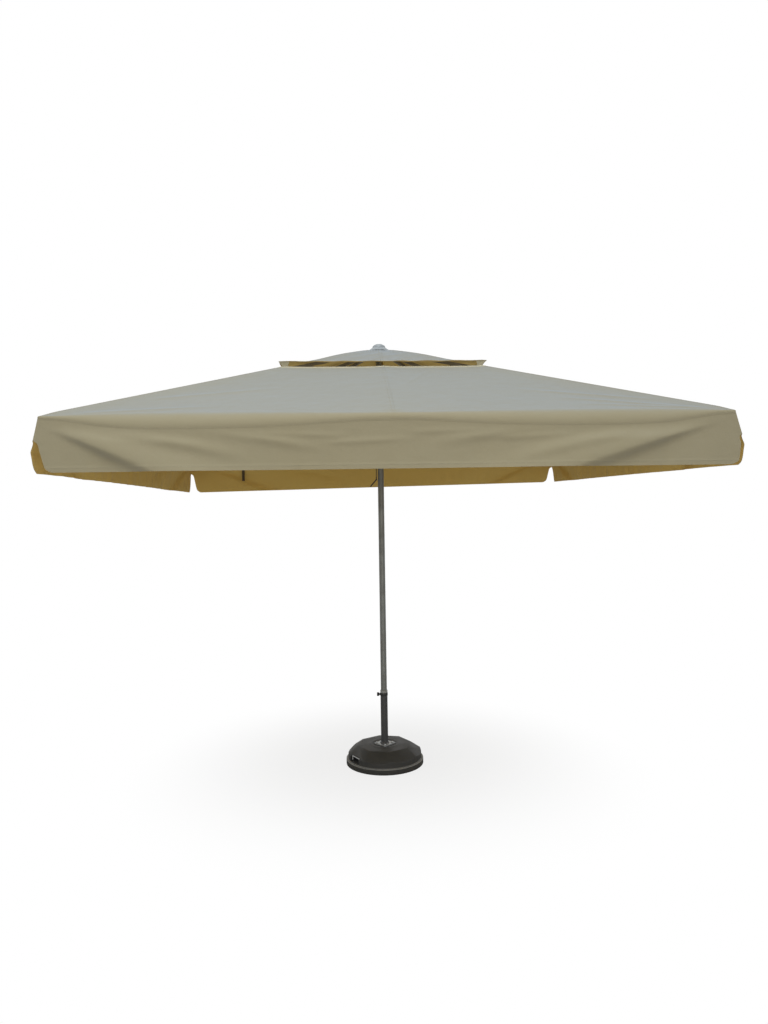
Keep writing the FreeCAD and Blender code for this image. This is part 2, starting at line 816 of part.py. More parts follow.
lug = rod("runner_lug", "$lug_radius", "$lug_tall", place((size("cord_x"), size("cord_y"), skirt_z)))
node(fuse("runner_body", [*runner_pieces, lug]), "runner")
node(group("runner_pin_set", runner_pins), "runner_pins")

CORD_CLEAR = 0.05
EYE_CLEAR = 0.1
cord_top = skirt_z - CORD_CLEAR - size("cord_radius")
cord_start = size("cord_low") + size("lock_eye") + EYE_CLEAR
cord = fuse(
    "cord",
    [
        rod("cord_line", "$cord_radius", f"{cord_top - cord_start:.4f}",
            place((size("cord_x"), size("cord_y"), cord_start))),
        ball("cord_end", "$cord_radius", (size("cord_x"), size("cord_y"), cord_top)),
    ],
)
node(cord, "pin_cord")
lock = fuse(
    "lock",
    [
        rod("lock_rod", "$lock_radius", "$lock_long"),
        ball("lock_ring", "$lock_eye", (0, 0, 0)),
        ball("lock_nose", "$lock_radius", (0, 0, size("lock_long"))),
    ],
)
node(lock, "lock_pin", place((size("cord_x"), size("cord_y"), size("cord_low")),
                             Y, 180 + size("lock_lean")))

# ---------------------------------------------------------------- canopy cloth
# Flat cloth panels are plain polygons given a thickness: no primitive has their outline.
TAN_OCTANT = math.tan(math.radians(22.5))


def plate(corners, depth):
    """A solid from a flat polygon and a thickness vector."""
    ring_of = [Vector(*c) for c in corners]
    return Part.Face(Part.makePolygon(ring_of + ring_of[:1])).extrude(Vector(*depth))


def cloth(label, shapes, turn=0.0):
    """A cloth node made of sewn plates, turned to its side of the canopy."""
    obj = doc.addObject("Part::Feature", label)
    obj.Shape = shapes[0] if len(shapes) == 1 else Part.makeCompound(shapes)
    node(obj, label, place((0, 0, 0), Z, turn))
    return obj


span, vent, thick = size("half_span"), size("vent_half"), size("cloth")
SEW = 0.2


def roof_z(run):
    """Height of the roof's outer face at a distance from the pole, across its own side."""
    return size("roof_apex") - size("roof_fall") * run


def roof_point(run, side):
    """A point of the roof's outer face on the side that faces +X."""
    return (run, side, roof_z(run))


def mirrored(shape):
    """A shape reflected in the upright plane through the pole and the +X +Y corner."""
    return shape.mirror(ORIGIN, Vector(1, -1, 0))


for name, turn in MIDS.items():
    low, high = vent * TAN_OCTANT - SEW, span * TAN_OCTANT - SEW
    corners = [roof_point(vent, -low), roof_point(span, -high),
               roof_point(span, high), roof_point(vent, low)]
    cloth(f"roof_{name}", [plate(corners, (0, 0, -thick))], turn)
for name, turn in CORNERS.items():
    low, high = vent * TAN_OCTANT + SEW, span * TAN_OCTANT + SEW
    corners = [roof_point(vent, low), roof_point(span, high),
               roof_point(span, span), roof_point(vent, vent)]
    gore = plate(corners, (0, 0, -thick))
    cloth(f"roof_{name}", [gore, mirrored(gore)], turn - 45.0)

valance_top = roof_z(span) - thick - 0.5
valance_low = valance_top - size("valance_drop")
outer_x = span - 0.5
inner_x = outer_x - size("valance_thick")
high = span * TAN_OCTANT
for name, turn in MIDS.items():
    corners = [(inner_x, -high + SEW, valance_low), (inner_x, high - SEW, valance_low),
               (inner_x, high - SEW, valance_top), (inner_x, -high + SEW, valance_top)]
    cloth(f"valance_{name}", [plate(corners, (size("valance_thick"), 0, 0))], turn)
NOTCH = [(45.0, 0.0), (34.0, 50.0), (26.0, 90.0), (20.0, 116.0), (11.0, 130.0), (0.0, 134.0)]
notch_scale = size("notch_high") / NOTCH[-1][1]
for name, turn in CORNERS.items():
    outline = [(high + SEW, valance_top), (high + SEW, valance_low)]
    outline += [(outer_x - back, valance_low + up * notch_scale) for back, up in NOTCH]
    outline.append((outer_x, valance_top))
    leg = plate([(inner_x, y, z) for y, z in outline], (size("valance_thick"), 0, 0))
    other = mirrored(leg).cut(leg)
    cloth(f"valance_{name}", [leg, other], turn - 45.0)

# The cap is four gores that steepen towards the crown, sewn along the corner lines.
CAP_RINGS = [(577.0, 0.0), (450.0, 24.0), (394.0, 41.0), (285.0, 90.0), (227.0, 112.0),
             (150.0, 140.0), (70.0, 166.5), (8.0, 172.0)]
cap_scale = size("cap_half") / CAP_RINGS[0][0]
rings = [(half * cap_scale, size("cap_edge") + rise) for half, rise in CAP_RINGS]


def cap_gore(levels, depth):
    """One closed gore of the cap on its +X side, through level lines, with a vertical thickness."""
    top = [(Vector(half, -half, height), Vector(half, half, height)) for half, height in levels]
    under = [tuple(p - Vector(0, 0, depth) for p in line) for line in top]
    outlines = []
    for layer in (top, under):
        outlines += [[low[0], low[1], high[1], high[0]] for low, high in zip(layer, layer[1:])]
    for end in (0, -1):
        outlines.append([top[end][0], top[end][1], under[end][1], under[end][0]])
    for side in (0, 1):
        outlines.append([line[side] for line in top] + [line[side] for line in reversed(under)])
    faces = [Part.Face(Part.makePolygon([*points, points[0]])) for points in outlines]
    solid = Part.makeSolid(Part.makeShell(faces))
    if solid.Volume < 0:
        solid.reverse()
    return solid


gores = []
for i in range(4):
    gore = cap_gore(rings, thick)
    gore.rotate(ORIGIN, Z, 90.0 * i)
    gores.append(gore)
cloth("vent_cap", gores)

# Four small webs close the vent at its corners, between the cap and the roof.
webs = []
web_thick = size("web_thick")
web_half = size("cap_half") - size("web_in")
web_top = size("cap_edge") - thick - 0.4
web_foot = roof_z(web_half) + 0.4
for name, turn in CORNERS.items():
    legs = []
    for end in (web_half, web_half - web_thick):
        outline = [(web_half, end, web_top), (web_half, web_half - size("web_wide_top"), web_top),
                   (web_half, web_half - size("web_wide_foot"), web_foot), (web_half, end, web_foot)]
        legs.append(plate(outline, (-web_thick, 0, 0)))
    leg, other = legs[0], mirrored(legs[1])
    spun = [s.copy() for s in (leg, other)]
    for piece in spun:
        piece.rotate(ORIGIN, Z, turn - 45.0)
    webs += spun
cloth("vent_webs", webs)

strap_at = (size("strap_x") - size("strap_wide") / 2, inner_x - size("strap_gap"), size("strap_low"))
strap = box("strap", "$strap_wide", "$strap_thick", "$strap_top - $strap_low", place(strap_at))
node(strap, "closing_strap")

# ---------------------------------------------------------------- check and export
doc.recompute()
faults = [o.Name for o in doc.Objects if {"Invalid", "Error"} & set(o.State)]
for label, obj in nodes:
    shape = obj.Shape
    if shape.isNull() or not shape.isValid():
        faults.append(label)
if faults:
    raise SystemExit("faulty: " + ", ".join(faults))
for old in os.listdir("parts"):
    os.remove(os.path.join("parts", old))
for label, obj in nodes:
    obj.Shape.exportStep(f"parts/{label}.step")
    bounds = obj.Shape.BoundBox
    print(f"{label:24s} solids {len(obj.Shape.Solids):2d} volume {obj.Shape.Volume / 1000:10.2f} cm3"
          f"  x {bounds.XMin:8.1f} {bounds.XMax:8.1f}  y {bounds.YMin:8.1f} {bounds.YMax:8.1f}"
          f"  z {bounds.ZMin:8.1f} {bounds.ZMax:8.1f}")
print("nodes", len(nodes), "runner pivot", round(runner_z, 3),
      "corner pivots", [tuple(round(v, 2) for v in lower[n]) for n in CORNERS])
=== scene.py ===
import json
import logging
import math
from dataclasses import dataclass, field
from enum import Enum
from typing import Callable, Sequence, Union

import bmesh
import bpy
import numpy as np
from mathutils import Matrix, Vector

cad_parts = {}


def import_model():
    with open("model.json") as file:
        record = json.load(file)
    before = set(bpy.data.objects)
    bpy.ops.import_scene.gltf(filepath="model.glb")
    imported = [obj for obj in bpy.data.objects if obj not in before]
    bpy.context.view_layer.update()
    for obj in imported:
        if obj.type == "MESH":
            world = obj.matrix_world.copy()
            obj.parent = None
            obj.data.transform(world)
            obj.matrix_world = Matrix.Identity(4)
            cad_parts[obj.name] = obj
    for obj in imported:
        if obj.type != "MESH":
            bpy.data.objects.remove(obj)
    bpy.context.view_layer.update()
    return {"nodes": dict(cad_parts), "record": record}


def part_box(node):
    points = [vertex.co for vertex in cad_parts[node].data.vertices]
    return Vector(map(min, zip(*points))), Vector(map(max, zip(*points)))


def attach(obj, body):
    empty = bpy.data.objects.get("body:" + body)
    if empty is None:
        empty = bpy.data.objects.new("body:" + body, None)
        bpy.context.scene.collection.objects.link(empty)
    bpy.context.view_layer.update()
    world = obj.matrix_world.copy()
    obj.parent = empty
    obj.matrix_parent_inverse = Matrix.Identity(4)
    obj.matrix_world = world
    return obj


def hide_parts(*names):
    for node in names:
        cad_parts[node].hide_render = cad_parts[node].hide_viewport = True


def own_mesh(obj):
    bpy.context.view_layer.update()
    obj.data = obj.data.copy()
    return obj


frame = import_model()
LOG = logging.getLogger("umbrella")

# Lengths are in metres. The canopy is a square: its middle is the pole, and each of its eight
# strips takes 22.5 degrees to each side of its rib.
TAN_OCTANT = math.tan(math.radians(22.5))
ROOT_TWO = math.sqrt(2.0)
EDGE = 1.5              # from the middle to the outer face of the border
EDGE_ROUND = 0.046      # how far the roof turns down at its edge
EDGE_LEAST = 0.004      # and the least that it does, at the corners
CORNER_REACH = 0.25     # how far along from a corner its edge is held tight
MIDDLE_REACH = 0.42     # how far along from a middle rib it is held too
MIDDLE_SHARE = 0.72     # and the share of the turn that such a rib takes away
LIP = 0.012             # how far the roof's lip hangs over the border
HEM_STEP = 0.002        # the width in which a hem's thickness rises
STITCH_PROUD = 0.0003   # how far a stitch stands on the cloth
SEAM_ASIDE = 0.007      # how far the rows of stitches run beside a rib
UP = np.array([0.0, 0.0, 1.0])


# ------------------------------------------------------------------ shader maths
class Term:
    """A number that varies over a surface; arithmetic on it adds Math nodes."""

    def __init__(self, recipe: "Recipe", socket: bpy.types.NodeSocket) -> None:
        """Wrap an output socket of a recipe."""
        self.recipe = recipe
        self.socket = socket

    def _with(self, operation: str, first: "Value", second: "Value" = 0.0) -> "Term":
        """Add one Math node.

        Args:
            operation: The Math node's operation.
            first: The first number or term.
            second: The second number or term, where the operation has one.

        Returns:
            The node's result as a term.
        """
        made = self.recipe.node("ShaderNodeMath", {"operation": operation}, {0: first, 1: second})
        return Term(self.recipe, made.outputs[0])

    def __add__(self, other: "Value") -> "Term":
        """This plus other."""
        return self._with("ADD", self, other)

    __radd__ = __add__

    def __sub__(self, other: "Value") -> "Term":
        """This minus other."""
        return self._with("SUBTRACT", self, other)

    def __rsub__(self, other: "Value") -> "Term":
        """Other minus this."""
        return self._with("SUBTRACT", other, self)

    def __mul__(self, other: "Value") -> "Term":
        """This times other."""
        return self._with("MULTIPLY", self, other)

    __rmul__ = __mul__

    def __pow__(self, other: "Value") -> "Term":
        """This raised to other."""
        return self._with("POWER", self, other)

    def sine(self) -> "Term":
        """The sine of this, in radians."""
        return self._with("SINE", self)

    def atan2(self, other: "Value") -> "Term":
        """The angle of the point (other, this)."""
        return self._with("ARCTAN2", self, other)

    def ramp(self, low: float, high: float) -> "Term":
        """A smooth step of this.

        Args:
            low: Where the step begins, at nought.
            high: Where it ends, at one.

        Returns:
            The stepped term, from nought to one.
        """
        made = self.recipe.node(
            "ShaderNodeMapRange",
            {"interpolation_type": "SMOOTHSTEP"},
            {"Value": self, "From Min": low, "From Max": high},
        )
        return Term(self.recipe, made.outputs[0])


Value = Union[Term, float]
Colour = tuple[float, float, float]


class Tree:
    """A node tree that gets its nodes one call at a time."""

    def __init__(self, tree: bpy.types.NodeTree) -> None:
        """Start with the tree empty."""
        self.tree = tree
        tree.nodes.clear()

    def node(self, kind: str, settings: dict | None = None,
             inputs: dict | None = None) -> bpy.types.Node:
        """Add any node.

        Args:
            kind: The node's type.
            settings: Its own settings, set first.
            inputs: Socket name or number to a number, colour, term or socket.

        Returns:
            The new node.
        """
        made = self.tree.nodes.new(kind)
        for key, setting in (settings or {}).items():
            setattr(made, key, setting)
        for key, given in (inputs or {}).items():
            socket = made.inputs[key]
            if isinstance(given, Term):
                given = given.socket
            if isinstance(given, bpy.types.NodeSocket):
                self.tree.links.new(given, socket)
            elif isinstance(given, tuple) and len(given) == 3 and socket.type == "RGBA":
                socket.default_value = (*given, 1.0)
            else:
                socket.default_value = given
        return made


class Recipe(Tree):
    """The node tree of one finish."""

    def __init__(self, name: str) -> None:
        """Start an empty material of this name."""
        self.material = bpy.data.materials.new(name)
        self.material.use_nodes = True
        super().__init__(self.material.node_tree)

    def place(self) -> bpy.types.NodeSocket:
        """Object coordinates, in metres."""
        return self.node("ShaderNodeTexCoord").outputs["Object"]

    def weave_place(self) -> bpy.types.NodeSocket:
        """The cloth's own coordinates: metres along warp and weft."""
        return self.node("ShaderNodeUVMap", {"uv_map": "weave"}).outputs[0]

    def parts(self, place: bpy.types.NodeSocket) -> tuple[Term, Term, Term]:
        """The three parts of a point, as terms."""
        split = self.node("ShaderNodeSeparateXYZ", None, {0: place})
        return tuple(Term(self, out) for out in split.outputs)

    def noise(self, place: bpy.types.NodeSocket, scale: float, detail: float = 3.0,
              stretch: Colour = (1.0, 1.0, 1.0)) -> Term:
        """Cloudy noise.

        Args:
            place: The coordinates it reads.
            scale: Clouds to a metre.
            detail: Octaves of finer clouds.
            stretch: How many times closer the clouds lie along each axis.

        Returns:
            The noise, about 0.5 on average.
        """
        if stretch != (1.0, 1.0, 1.0):
            place = self.node("ShaderNodeMapping", None, {"Vector": place, "Scale": stretch}).outputs[0]
        made = self.node("ShaderNodeTexNoise", None,
                         {"Vector": place, "Scale": scale, "Detail": detail})
        return Term(self, made.outputs[0])

    def mix(self, low: Union[Colour, bpy.types.NodeSocket], high: Union[Colour, bpy.types.NodeSocket],
            share: Value) -> bpy.types.NodeSocket:
        """Blend two colours.

        Args:
            low: The colour at nought.
            high: The colour at one.
            share: How much of the second colour.

        Returns:
            The blended colour.
        """
        made = self.node("ShaderNodeMix", {"data_type": "RGBA", "clamp_factor": True},
                         {0: share, 6: low, 7: high})
        return made.outputs[2]

    def bump(self, height: Value, depth: float, strength: float = 1.0,
             under: bpy.types.NodeSocket | None = None) -> bpy.types.NodeSocket:
        """Turn a height into a normal.

        Args:
            height: The height, from nought to one.
            depth: Metres from nought to one.
            strength: How much of it shows.
            under: A normal that lies under it.

        Returns:
            The normal.
        """
        inputs = {"Height": height, "Distance": depth, "Strength": strength}
        if under is not None:
            inputs["Normal"] = under
        return self.node("ShaderNodeBump", None, inputs).outputs[0]

    def edge_nearness(self, radius: float) -> Term:
        """How near a point is to a hard edge, nought to one."""
        rounded = self.node("ShaderNodeBevel", {"samples": 4}, {"Radius": radius})
        flat = self.node("ShaderNodeNewGeometry")
        dot = self.node("ShaderNodeVectorMath", {"operation": "DOT_PRODUCT"},
                        {0: rounded.outputs[0], 1: flat.outputs["Normal"]})
        return (1.0 - Term(self, dot.outputs["Value"])).ramp(0.004, 0.12)

    def surface(self, **sockets: object) -> bpy.types.Material:
        """Close the tree with a Principled shader.

        Args:
            sockets: Socket names, with underscores for spaces, to values or links.

        Returns:
            The finished material.
        """
        inputs = {key.replace("_", " "): given for key, given in sockets.items()}
        shader = self.node("ShaderNodeBsdfPrincipled", None, inputs)
        self.node("ShaderNodeOutputMaterial", None, {0: shader.outputs[0]})
        return self.material


def shade(colour: Colour, factor: float) -> Colour:
    """A colour made darker or lighter by a factor."""
    return tuple(min(1.0, part * factor) for part in colour)


# ------------------------------------------------------------------ finishes
@dataclass(frozen=True)
class Canvas:
    """Woven canopy cloth: rib weave with painted shade where it dips, faint slubs, faded patches, soft
    sheen.
    """

    name: str
    colour: Colour
    weathered: Colour
    sheen: float = 0.35
    sheen_tint: Colour = (0.78, 0.9, 1.0)
    crumple: float = 0.0012
    pitch: float = 0.0016

    def make(self) -> bpy.types.Material:
        """Build the material."""
        r = Recipe(self.name)
        cloth = r.weave_place()
        u, v, _ = r.parts(cloth)
        turn = math.tau / self.pitch
        warp = (u * turn).sine() * 0.5 + 0.5
        weft = (v * turn).sine() * 0.5 + 0.5
        weave = warp * weft + (1.0 - warp) * (1.0 - weft)
        slub = r.noise(cloth, 60.0, 2.0, (1.0, 9.0, 1.0)) + r.noise(cloth, 60.0, 2.0, (9.0, 1.0, 1.0))
        solid = r.place()
        patches = r.noise(solid, 1.7, 4.0)    # faded places, about half a metre across
        mottle = r.noise(solid, 23.0, 5.0)    # and the finer mottle in them
        tone = (patches - 0.5) * 0.55 + (mottle - 0.5) * 0.4 + (slub - 1.0) * 0.22
        base = r.mix(self.colour, self.weathered, tone + 0.4)
        # Painted shade: the cloth is a little darker where the weave dips under.
        shown = r.mix(base, shade(self.colour, 0.72), (1.0 - weave) * 0.12)
        crumpled = r.noise(solid, 9.0, 4.0)
        creased = r.bump(crumpled, self.crumple * 6.0, 0.5)
        fine = r.bump(mottle, self.crumple, 0.5, creased)
        woven = r.bump(weave, 0.0001, 0.35, fine)
        rough = 0.84 + (mottle - 0.5) * 0.12
        return r.surface(Base_Color=shown, Roughness=rough, Normal=woven,
                         Specular_IOR_Level=0.25, Sheen_Weight=self.sheen,
                         Sheen_Roughness=0.45, Sheen_Tint=(*self.sheen_tint, 1.0))


@dataclass(frozen=True)
class Thread:
    """Twisted sewing thread."""

    name: str
    colour: Colour

    def make(self) -> bpy.types.Material:
        """Build the material."""
        r = Recipe(self.name)
        strands = r.noise(r.place(), 900.0, 1.0)
        colour = r.mix(shade(self.colour, 0.7), self.colour, strands)
        return r.surface(Base_Color=colour, Roughness=0.6, Normal=r.bump(strands, 0.0002, 0.4))


@dataclass(frozen=True)
class Moulded:
    """Moulded plastic: fine grain, dust in the flats, paler edges that are partly wear and partly a
    painted highlight, and a painted highlight on low upward faces.
    """

    name: str
    colour: Colour
    dust: Colour
    roughness: float = 0.5
    grain: float = 700.0
    grain_depth: float = 0.0002
    dusting: float = 0.5
    edge: float = 0.0025
    film: Colour = (0.36, 0.35, 0.32)
    film_top: float = 0.0

    def make(self) -> bpy.types.Material:
        """Build the material."""
        r = Recipe(self.name)
        solid = r.place()
        grain = r.noise(solid, self.grain, 2.0)
        cloud = r.noise(solid, 14.0, 5.0)
        streak = r.noise(solid, 60.0, 4.0, (1.0, 1.0, 0.3))
        upward = r.parts(r.node("ShaderNodeNewGeometry").outputs["Normal"])[2].ramp(0.1, 0.95)
        settled = upward * cloud.ramp(0.3, 0.75) * self.dusting + streak.ramp(0.55, 0.85) * 0.12
        base = r.mix(shade(self.colour, 0.82), shade(self.colour, 1.2), cloud)
        dust_and_highlight = r.mix(base, self.dust, settled)
        # Painted highlight: upward faces below a given height are painted paler, as a highlight along a
        # low ledge.
        if self.film_top:
            low = 1.0 - r.parts(solid)[2].ramp(self.film_top - 0.002, self.film_top)
            dust_and_highlight = r.mix(dust_and_highlight, self.film, upward * low * (cloud * 0.3 + 0.6))
        # Paler edges: partly real rubbing, partly a painted highlight along the hard edges.
        rubbed_and_highlit = r.edge_nearness(self.edge) * streak.ramp(0.25, 0.7)
        surface_colour = r.mix(dust_and_highlight, shade(self.dust, 1.35), rubbed_and_highlit * 0.45)
        rough = self.roughness + (cloud - 0.5) * 0.25 + settled * 0.25
        return r.surface(Base_Color=surface_colour, Roughness=rough,
                         Normal=r.bump(grain, self.grain_depth, 0.35))


@dataclass(frozen=True)
class Metal:
    """Tube or plate metal: drawn or brushed along one way, with handling marks."""

    name: str
    colour: Colour
    dull: Colour
    metallic: float = 1.0
    roughness: float = 0.38
    drawn: Colour = (1.0, 1.0, 0.02)
    coat: float = 0.0
    line_depth: float = 0.00006

    def make(self) -> bpy.types.Material:
        """Build the material."""
        r = Recipe(self.name)
        solid = r.place()
        lines = r.noise(solid, 900.0, 2.0, self.drawn)
        cloud = r.noise(solid, 11.0, 5.0)
        smear = r.noise(solid, 42.0, 5.0, self.drawn)
        base = r.mix(self.colour, self.dull, cloud.ramp(0.35, 0.7) * 0.7 + (lines - 0.5) * 0.3)
        surface_colour = r.mix(base, shade(self.dull, 0.6), smear.ramp(0.6, 0.85) * 0.4)
        rough = self.roughness + (cloud - 0.5) * 0.22 + (lines - 0.5) * 0.1
        return r.surface(Base_Color=surface_colour, Metallic=self.metallic, Roughness=rough,
                         Coat_Weight=self.coat, Coat_Roughness=0.3,
                         Normal=r.bump(lines, self.line_depth, 0.3))


@dataclass(frozen=True)
class Powder:
    """Powder coat: orange-peel skin, scuffs down to a paler primer."""

    name: str
    colour: Colour
    scuffed: Colour
    roughness: float = 0.5

    def make(self) -> bpy.types.Material:
        """Build the material."""
        r = Recipe(self.name)
        solid = r.place()
        peel = r.noise(solid, 420.0, 2.0)
        cloud = r.noise(solid, 8.0, 4.0, (1.0, 1.0, 0.4))
        scuff = r.noise(solid, 75.0, 6.0, (1.0, 1.0, 0.25)).ramp(0.62, 0.75)
        base = r.mix(shade(self.colour, 0.85), shade(self.colour, 1.18), cloud)
        surface_colour = r.mix(base, self.scuffed, scuff * 0.35 + r.edge_nearness(0.0015) * 0.5)
        return r.surface(Base_Color=surface_colour, Roughness=self.roughness + (cloud - 0.5) * 0.2,
                         Normal=r.bump(peel, 0.00025, 0.3))


@dataclass(frozen=True)
class Zinc:
    """Hot-dip galvanised steel: crystal spangle and white bloom."""

    name: str
    colour: Colour
    bloom: Colour

    def make(self) -> bpy.types.Material:
        """Build the material."""
        r = Recipe(self.name)
        solid = r.place()
        cells = r.node("ShaderNodeTexVoronoi", {"feature": "F1"}, {"Vector": solid, "Scale": 190.0})
        tint = r.parts(cells.outputs["Color"])[0]
        cloud = r.noise(solid, 45.0, 5.0)
        base = r.mix(shade(self.colour, 0.7), self.colour, tint)
        bloomed = r.mix(base, self.bloom, cloud.ramp(0.45, 0.75) * 0.6)
        rough = 0.42 + tint * 0.16 + cloud.ramp(0.45, 0.75) * 0.2
        return r.surface(Base_Color=bloomed, Metallic=0.85, Roughness=rough,
                         Normal=r.bump(cloud, 0.0004, 0.3))


@dataclass(frozen=True)
class Concrete:
    """Cast concrete: sandy grain, air holes with painted shade in them, damp patches."""

    name: str
    colour: Colour

    def make(self) -> bpy.types.Material:
        """Build the material."""
        r = Recipe(self.name)
        solid = r.place()
        sand = r.noise(solid, 320.0, 4.0)
        damp = r.noise(solid, 9.0, 4.0)
        holes = r.node("ShaderNodeTexVoronoi", {"feature": "F1"}, {"Vector": solid, "Scale": 70.0})
        pits = Term(r, holes.outputs["Distance"]).ramp(0.12, 0.3)
        base = r.mix(shade(self.colour, 0.65), shade(self.colour, 1.1), damp * 0.6 + sand * 0.4)
        # Painted shade: the air holes are painted much darker.
        shown = r.mix(shade(self.colour, 0.3), base, pits)
        return r.surface(Base_Color=shown, Roughness=0.9,
                         Normal=r.bump(sand * 0.3 + pits, 0.0015, 0.5))


@dataclass(frozen=True)
class Braid:
    """Braided cord: two sets of strands that cross round an upright cord, with painted shade in the
    grooves between them and painted light on their crowns.
    """

    name: str
    colour: Colour
    centre: tuple[float, float]
    lay: float = 0.006

    def make(self) -> bpy.types.Material:
        """Build the material."""
        r = Recipe(self.name)
        x, y, z = r.parts(r.place())
        angle = (y - self.centre[1]).atan2(x - self.centre[0])
        rise = z * (math.tau / self.lay)
        left = (rise + angle * 3.0).sine() * 0.5 + 0.5
        right = (rise - angle * 3.0).sine() * 0.5 + 0.5
        strands = left * right + (1.0 - left) * (1.0 - right)
        # Painted shade and light: darker in the grooves between strands, lighter on the strands'
        # crowns.
        colour = r.mix(shade(self.colour, 0.5), shade(self.colour, 1.6), strands)
        return r.surface(Base_Color=colour, Roughness=0.8, Normal=r.bump(strands, 0.0005, 0.6))


@dataclass(frozen=True)
class Webbing:
    """Flat woven strap with cross ribs, with painted shade between the ribs and painted light on their
    crowns.
    """

    name: str
    colour: Colour

    def make(self) -> bpy.types.Material:
        """Build the material."""
        r = Recipe(self.name)
        x, _, z = r.parts(r.place())
        ribs = (z * (math.tau / 0.0018)).sine() * 0.5 + 0.5
        yarn = (x * (math.tau / 0.0024)).sine() * 0.5 + 0.5
        fluff = r.noise(r.place(), 300.0, 3.0)
        # Painted shade and light: darker between the cross ribs and lighter on their crowns, mixed with
        # random fluff.
        colour = r.mix(shade(self.colour, 0.55), shade(self.colour, 1.5), ribs * 0.5 + fluff * 0.5)
        return r.surface(Base_Color=colour, Roughness=0.85,
                         Normal=r.bump(ribs * yarn, 0.0005, 0.6))


OUTER = Canvas("canvas_outer", (0.272, 0.226, 0.13), (0.305, 0.262, 0.168), 0.85,
               (0.52, 0.69, 0.93))
# The inner face is painted a brighter, warmer ochre than the cloth's own sand colour: painted light
# that stands for daylight shining through the canopy.
INNER_PAINTED_GLOW = Canvas("canvas_inner", (0.66, 0.46, 0.13), (0.72, 0.52, 0.18), 0.1, (1.0, 0.9, 0.7))
HEM = Canvas("canvas_hem", (0.5, 0.45, 0.31), (0.56, 0.51, 0.38))
THREAD = Thread("sewing_thread", (0.36, 0.32, 0.23))
# The base shell gets a painted highlight on its low ledge, and paler edges that are partly a painted
# highlight.
SHELL = Moulded("base_shell_plastic", (0.026, 0.025, 0.022), (0.05, 0.048, 0.036), 0.6, dusting=0.12,
                film_top=0.043)
CUP = Moulded("cup_plastic", (0.016, 0.016, 0.016), (0.07, 0.066, 0.055), 0.6, dusting=0.3)
PAD = Moulded("foot_rubber", (0.03, 0.03, 0.03), (0.1, 0.095, 0.08), 0.8, 240.0, 0.0004)
BLACK = Moulded("knob_plastic", (0.014, 0.014, 0.014), (0.06, 0.058, 0.05), 0.42, dusting=0.2,
                edge=0.001)
SLEEVE = Moulded("sleeve_plastic", (0.3, 0.3, 0.285), (0.42, 0.41, 0.37), 0.5, dusting=0.3, edge=0.001)
FINIAL = Moulded("finial_plastic", (0.27, 0.285, 0.29), (0.34, 0.35, 0.34), 0.45, dusting=0.3)
STEM = Powder("stem_powder_coat", (0.052, 0.052, 0.053), (0.12, 0.12, 0.12))
POLE = Metal("pole_anodised", (0.215, 0.22, 0.208), (0.155, 0.152, 0.138), 0.7, 0.5)
RIB = Metal("rib_coated", (0.23, 0.205, 0.165), (0.17, 0.15, 0.12), 0.1, 0.5, (0.3, 0.3, 1.0), 0.1)
PIN = Metal("pin_steel", (0.5, 0.5, 0.49), (0.34, 0.33, 0.31), 1.0, 0.3, (1.0, 1.0, 1.0))
LATCH = Powder("latch_coating", (0.05, 0.042, 0.03), (0.16, 0.15, 0.13))
ZINC = Zinc("galvanised_plate", (0.42, 0.43, 0.435), (0.5, 0.51, 0.5))
WIRE = Metal("grip_wire", (0.74, 0.745, 0.74), (0.6, 0.6, 0.58), 0.5, 0.4, (1.0, 1.0, 1.0))
CONCRETE = Concrete("ballast_concrete", (0.42, 0.41, 0.39))
BRAID = Braid("cord_braid", (0.05, 0.048, 0.045), (-0.029, -0.014))
WEBBING = Webbing("strap_webbing", (0.085, 0.066, 0.038))
Finish = Union[Canvas, Thread, Moulded, Metal, Powder, Zinc, Concrete, Braid, Webbing]


class Workshop:
    """Makes each finish once and dresses pieces with them."""

    made: dict[str, bpy.types.Material] = {}

    @classmethod
    def material(cls, finish: Finish) -> bpy.types.Material:
        """The material of a finish, built the first time it is asked for."""
        if finish.name not in cls.made:
            cls.made[finish.name] = finish.make()
        return cls.made[finish.name]

    @classmethod
    def dress(cls, obj: bpy.types.Object, *finishes: Finish) -> None:
        """Give an object these finishes, in slot order."""
        if len(obj.data.materials):
            obj.data.materials.clear()
        for finish in finishes:
            obj.data.materials.append(cls.material(finish))


def add_object(name: str, mesh: bpy.types.Mesh) -> bpy.types.Object:
    """Put a mesh into the scene at the origin."""
    obj = bpy.data.objects.new(name, mesh)
    bpy.context.scene.collection.objects.link(obj)
    return obj


def plain_mesh(obj: bpy.types.Object) -> bpy.types.Mesh:
    """A new mesh of the object with its modifiers applied."""
    return bpy.data.meshes.new_from_object(
        obj.evaluated_get(bpy.context.evaluated_depsgraph_get())
    )


def report(obj: bpy.types.Object, body: str) -> None:
    """Log a finished piece."""
    LOG.info("%s rides on %s, %d faces", obj.name, body, len(getattr(obj.data, "polygons", ())))


